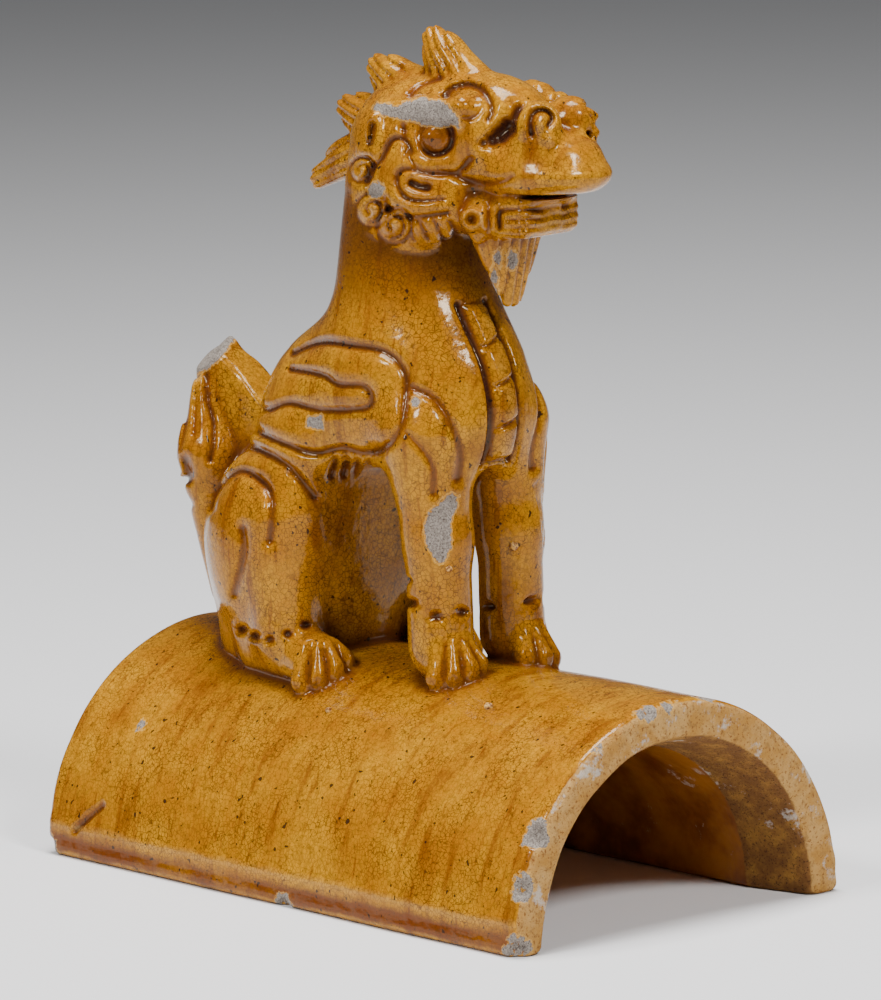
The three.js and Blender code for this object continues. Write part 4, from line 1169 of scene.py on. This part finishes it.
# How many cells round a point count for a fine hollow and for a broad one.
FINE_REACH, BROAD_REACH = 3, 9
EYE_POOLING = 0.4
# Painted shade under the head: how strongly the neck is darkened, the height where it is strongest and how
# far up and down it reaches.
NECK_PAINTED_SHADE, NECK_MIDDLE, NECK_HALF = 0.5, 222, 42


class RIDGE_OT_beast_tile(Operator):
    """Make the ridge tile and the beast on it, one piece of fired clay"""
    bl_idname = "ridge.beast_tile"
    bl_label = "Beast and tile"

    def execute(self, context):
        s = context.scene.ridge_tile
        half, wide, cell = s.length * 500 + MARGIN, s.width * 500 + MARGIN, s.cell * 1000
        low, high = (-half, -wide, -MARGIN), (half, wide, SAMPLED_TOP)
        mesh, grid = skin_mesh("beast_and_tile", clay(s), low, high, cell)
        piece = bpy.data.objects.new("beast_and_tile", mesh)
        context.scene.collection.objects.link(piece)
        thinned(piece, s.triangles)
        self.mark_skin(piece.data, grid, low, cell)
        piece.data.shade_smooth()
        piece.data.materials.append(glazed_clay(context.scene.ridge_glaze, s))
        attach(piece, "root")
        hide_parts(NODE)
        return {"FINISHED"}

    def mark_skin(self, mesh, grid, low, cell):
        """Keeps at each point how hollow the clay is, how deep it's carved and how near bare clay is, with
        painted shade added on the neck under the head.
        """
        points = skin_points(mesh)
        places = (points - np.array(low)) / cell
        clip = CLIP_CELLS * cell
        fine = -read_grid(box_mean(grid, FINE_REACH), places) / clip
        broad = -read_grid(box_mean(grid, BROAD_REACH), places) / clip
        write_attribute(mesh, "fine_hollow", np.maximum(fine, EYE_POOLING * eye_shade(points)))
        carving, on_head = carving_depth(points)
        # Painted shade: the neck under the head is darkened as though the head shaded it.
        broad = broad + np.where(on_head, 0, NECK_PAINTED_SHADE * near(points[:, 2] - NECK_MIDDLE, NECK_HALF))
        write_attribute(mesh, "broad_hollow", broad)
        write_attribute(mesh, "carving", carving)
        write_attribute(mesh, "bare", bare_clay(points))


# About where each crumb sticks, and how its place on the skin is found.
GRIT_SPOTS = [(31, 9, 116), (33, -22, 112), (25, 40, 82), (-5, -44, 62), (60, -30, 70)]
SKIN_STEPS, SKIN_PROBE = 12, 0.5


class RIDGE_OT_kiln_grit(Operator):
    """Stick a few crumbs of kiln grit on the glaze"""
    bl_idname = "ridge.kiln_grit"
    bl_label = "Kiln grit"

    def execute(self, context):
        s = context.scene.ridge_grit
        mesh = bpy.data.meshes.new("kiln_grit")
        mesh.from_pydata((self.on_skin(clay(context.scene.ridge_tile)) / 1000).tolist(), [], [])
        piece = bpy.data.objects.new("kiln_grit", mesh)
        context.scene.collection.objects.link(piece)
        tree = grit_tree(kiln_grit_finish(context.scene.ridge_glaze))
        modifier = piece.modifiers.new("Grit", "NODES")
        modifier.node_group = tree
        ids = {item.name: item.identifier for item in tree.interface.items_tree if item.in_out == "INPUT"}
        modifier[ids["Size"]] = s.crumb
        modifier[ids["Seed"]] = s.seed
        bake_modifiers(piece)
        piece.data.shade_smooth()
        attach(piece, "root")
        return {"FINISHED"}

    def on_skin(self, field):
        """The spots of the crumbs, each moved down the field's slope until it lies on the skin."""
        points = np.array(GRIT_SPOTS, np.float32)
        for _ in range(SKIN_STEPS):
            d = field(*points.T)
            aside = np.eye(3, dtype=np.float32) * SKIN_PROBE
            slope = np.stack([field(*(points + step).T) - d for step in aside], 1) / SKIN_PROBE
            points = points - (d / (slope ** 2).sum(1))[:, None] * slope
        return points


FULL_TURN = 6.28
LUMP_SCALE = 700


def grit_tree(material):
    """A crumb on each point: a lumpy ball, turned and sized at random."""
    tree = bpy.data.node_groups.new("Grit on points", "GeometryNodeTree")
    sockets = tree.interface
    sockets.new_socket("Geometry", in_out="INPUT", socket_type="NodeSocketGeometry")
    sockets.new_socket("Size", in_out="INPUT", socket_type="NodeSocketFloat")
    sockets.new_socket("Seed", in_out="INPUT", socket_type="NodeSocketInt")
    sockets.new_socket("Geometry", in_out="OUTPUT", socket_type="NodeSocketGeometry")
    nodes = {}

    def add(key, kind, **settings):
        nodes[key] = tree.nodes.new(kind)
        for name, value in settings.items():
            setattr(nodes[key], name, value)
        return nodes[key]

    def link(source, out, target, into):
        tree.links.new(nodes[source].outputs[out], nodes[target].inputs[into])

    add("in", "NodeGroupInput")
    add("out", "NodeGroupOutput")
    add("ball", "GeometryNodeMeshIcoSphere").inputs["Subdivisions"].default_value = 4
    link("in", "Size", "ball", "Radius")
    add("lumps", "ShaderNodeTexNoise", noise_dimensions="3D").inputs["Scale"].default_value = LUMP_SCALE
    add("centre", "ShaderNodeVectorMath", operation="SUBTRACT").inputs[1].default_value = (0.5, 0.5, 0.5)
    link("lumps", "Color", "centre", 0)
    add("push", "ShaderNodeVectorMath", operation="SCALE")
    link("centre", "Vector", "push", 0)
    link("in", "Size", "push", "Scale")
    add("shaped", "GeometryNodeSetPosition")
    link("ball", "Mesh", "shaped", "Geometry")
    link("push", "Vector", "shaped", "Offset")
    add("on", "GeometryNodeInstanceOnPoints")
    link("in", "Geometry", "on", "Points")
    link("shaped", "Geometry", "on", "Instance")
    turn = add("turn", "FunctionNodeRandomValue", data_type="FLOAT_VECTOR")
    turn.inputs["Max"].default_value = (FULL_TURN,) * 3
    link("in", "Seed", "turn", "Seed")
    link("turn", "Value", "on", "Rotation")
    size = add("size", "FunctionNodeRandomValue", data_type="FLOAT")
    by_kind = [k for k in size.inputs if k.type == "VALUE" and k.name in ("Min", "Max")]
    by_kind[0].default_value, by_kind[1].default_value = 0.5, 1.0
    link("in", "Seed", "size", "Seed")
    tree.links.new(next(k for k in size.outputs if k.type == "VALUE"), nodes["on"].inputs["Scale"])
    add("real", "GeometryNodeRealizeInstances")
    link("on", "Instances", "real", "Geometry")
    add("paint", "GeometryNodeSetMaterial").inputs["Material"].default_value = material
    link("real", "Geometry", "paint", "Geometry")
    link("paint", "Geometry", "out", "Geometry")
    return tree


# Each light: its place, the point that it shines at and the side of its square.
LIGHTS = {
    "key": ((0, -1.45, 1.35), (0, 0, 0.14), 0.35),
    "fill": ((1.35, -0.1, 1.4), (0, 0, 0.14), 0.35),
    "top": ((0, 0, 1.7), (0, 0, 0.1), 0.7),
}
CAMERA_BACK = (0.73, -0.664, 0.16)
SENSOR_WIDTH = 36
VIEW_REACH = 100
FLOOR_HALF = 12.0


class RIDGE_OT_studio(Operator):
    """Set the floor, the soft lights and the camera"""
    bl_idname = "ridge.studio"
    bl_label = "Studio"

    def execute(self, context):
        s = context.scene.ridge_studio
        self.floor(context, s)
        for name, (place, target, size) in LIGHTS.items():
            self.light(context, name, place, target, getattr(s, name), size)
        world = bpy.data.worlds.new("studio")
        world.use_nodes = True
        background = world.node_tree.nodes["Background"]
        background.inputs["Color"].default_value = (*s.surround, 1)
        background.inputs["Strength"].default_value = s.surround_strength
        context.scene.world = world
        self.camera(context, s)
        return {"FINISHED"}

    def floor(self, context, s):
        mesh = bpy.data.meshes.new("floor")
        r = FLOOR_HALF
        mesh.from_pydata([(-r, -r, 0), (r, -r, 0), (r, r, 0), (-r, r, 0)], [], [(0, 1, 2, 3)])
        floor = bpy.data.objects.new("floor", mesh)
        context.scene.collection.objects.link(floor)
        mesh.materials.append(floor_finish(s))

    def light(self, context, name, place, target, power, size):
        data = bpy.data.lights.new(name, "AREA")
        data.energy, data.size = power, size
        lamp = bpy.data.objects.new(name, data)
        lamp.location = place
        lamp.rotation_euler = (Vector(target) - Vector(place)).to_track_quat("-Z", "Y").to_euler()
        context.scene.collection.objects.link(lamp)

    def camera(self, context, s):
        data = bpy.data.cameras.new("camera")
        data.lens, data.sensor_width, data.sensor_fit = s.lens, SENSOR_WIDTH, "AUTO"
        data.clip_end = VIEW_REACH
        eye = bpy.data.objects.new("camera", data)
        back_axis = Vector(CAMERA_BACK).normalized()
        right_axis = Vector(ACROSS)
        right_axis = (right_axis - back_axis * right_axis.dot(back_axis)).normalized()
        up_axis = back_axis.cross(right_axis)
        turn = Matrix((right_axis, up_axis, back_axis)).transposed()
        eye.matrix_world = Matrix.Translation(Vector(s.camera_at)) @ turn.to_4x4()
        context.scene.collection.objects.link(eye)
        context.scene.camera = eye


class RIDGE_PT_panel(Panel):
    """Lists the pieces and their settings"""
    bl_idname = "RIDGE_PT_panel"
    bl_label = "Ridge beast tile"
    bl_space_type = "VIEW_3D"
    bl_region_type = "UI"
    bl_category = "Ridge tile"

    def draw(self, context):
        layout = self.layout
        for operator in OPERATORS:
            layout.operator(operator.bl_idname)
        for settings in (getattr(context.scene, name) for name in SETTINGS):
            box = layout.box()
            for key in settings.__annotations__:
                box.prop(settings, key)


OPERATORS = (RIDGE_OT_beast_tile, RIDGE_OT_kiln_grit, RIDGE_OT_studio)
SETTINGS = {
    "ridge_tile": RidgeTileSettings,
    "ridge_grit": RidgeGritSettings,
    "ridge_glaze": RidgeGlazeSettings,
    "ridge_studio": RidgeStudioSettings,
}
CLASSES = (*SETTINGS.values(), *OPERATORS, RIDGE_PT_panel)


def register():
    for cls in CLASSES:
        bpy.utils.register_class(cls)
    for name, settings in SETTINGS.items():
        setattr(bpy.types.Scene, name, PointerProperty(type=settings))


def unregister():
    for name in SETTINGS:
        delattr(bpy.types.Scene, name)
    for cls in reversed(CLASSES):
        bpy.utils.unregister_class(cls)


def main():
    register()
    bpy.ops.ridge.studio()
    bpy.ops.ridge.beast_tile()
    bpy.ops.ridge.kiln_grit()


if __name__ == "__main__":
    main()
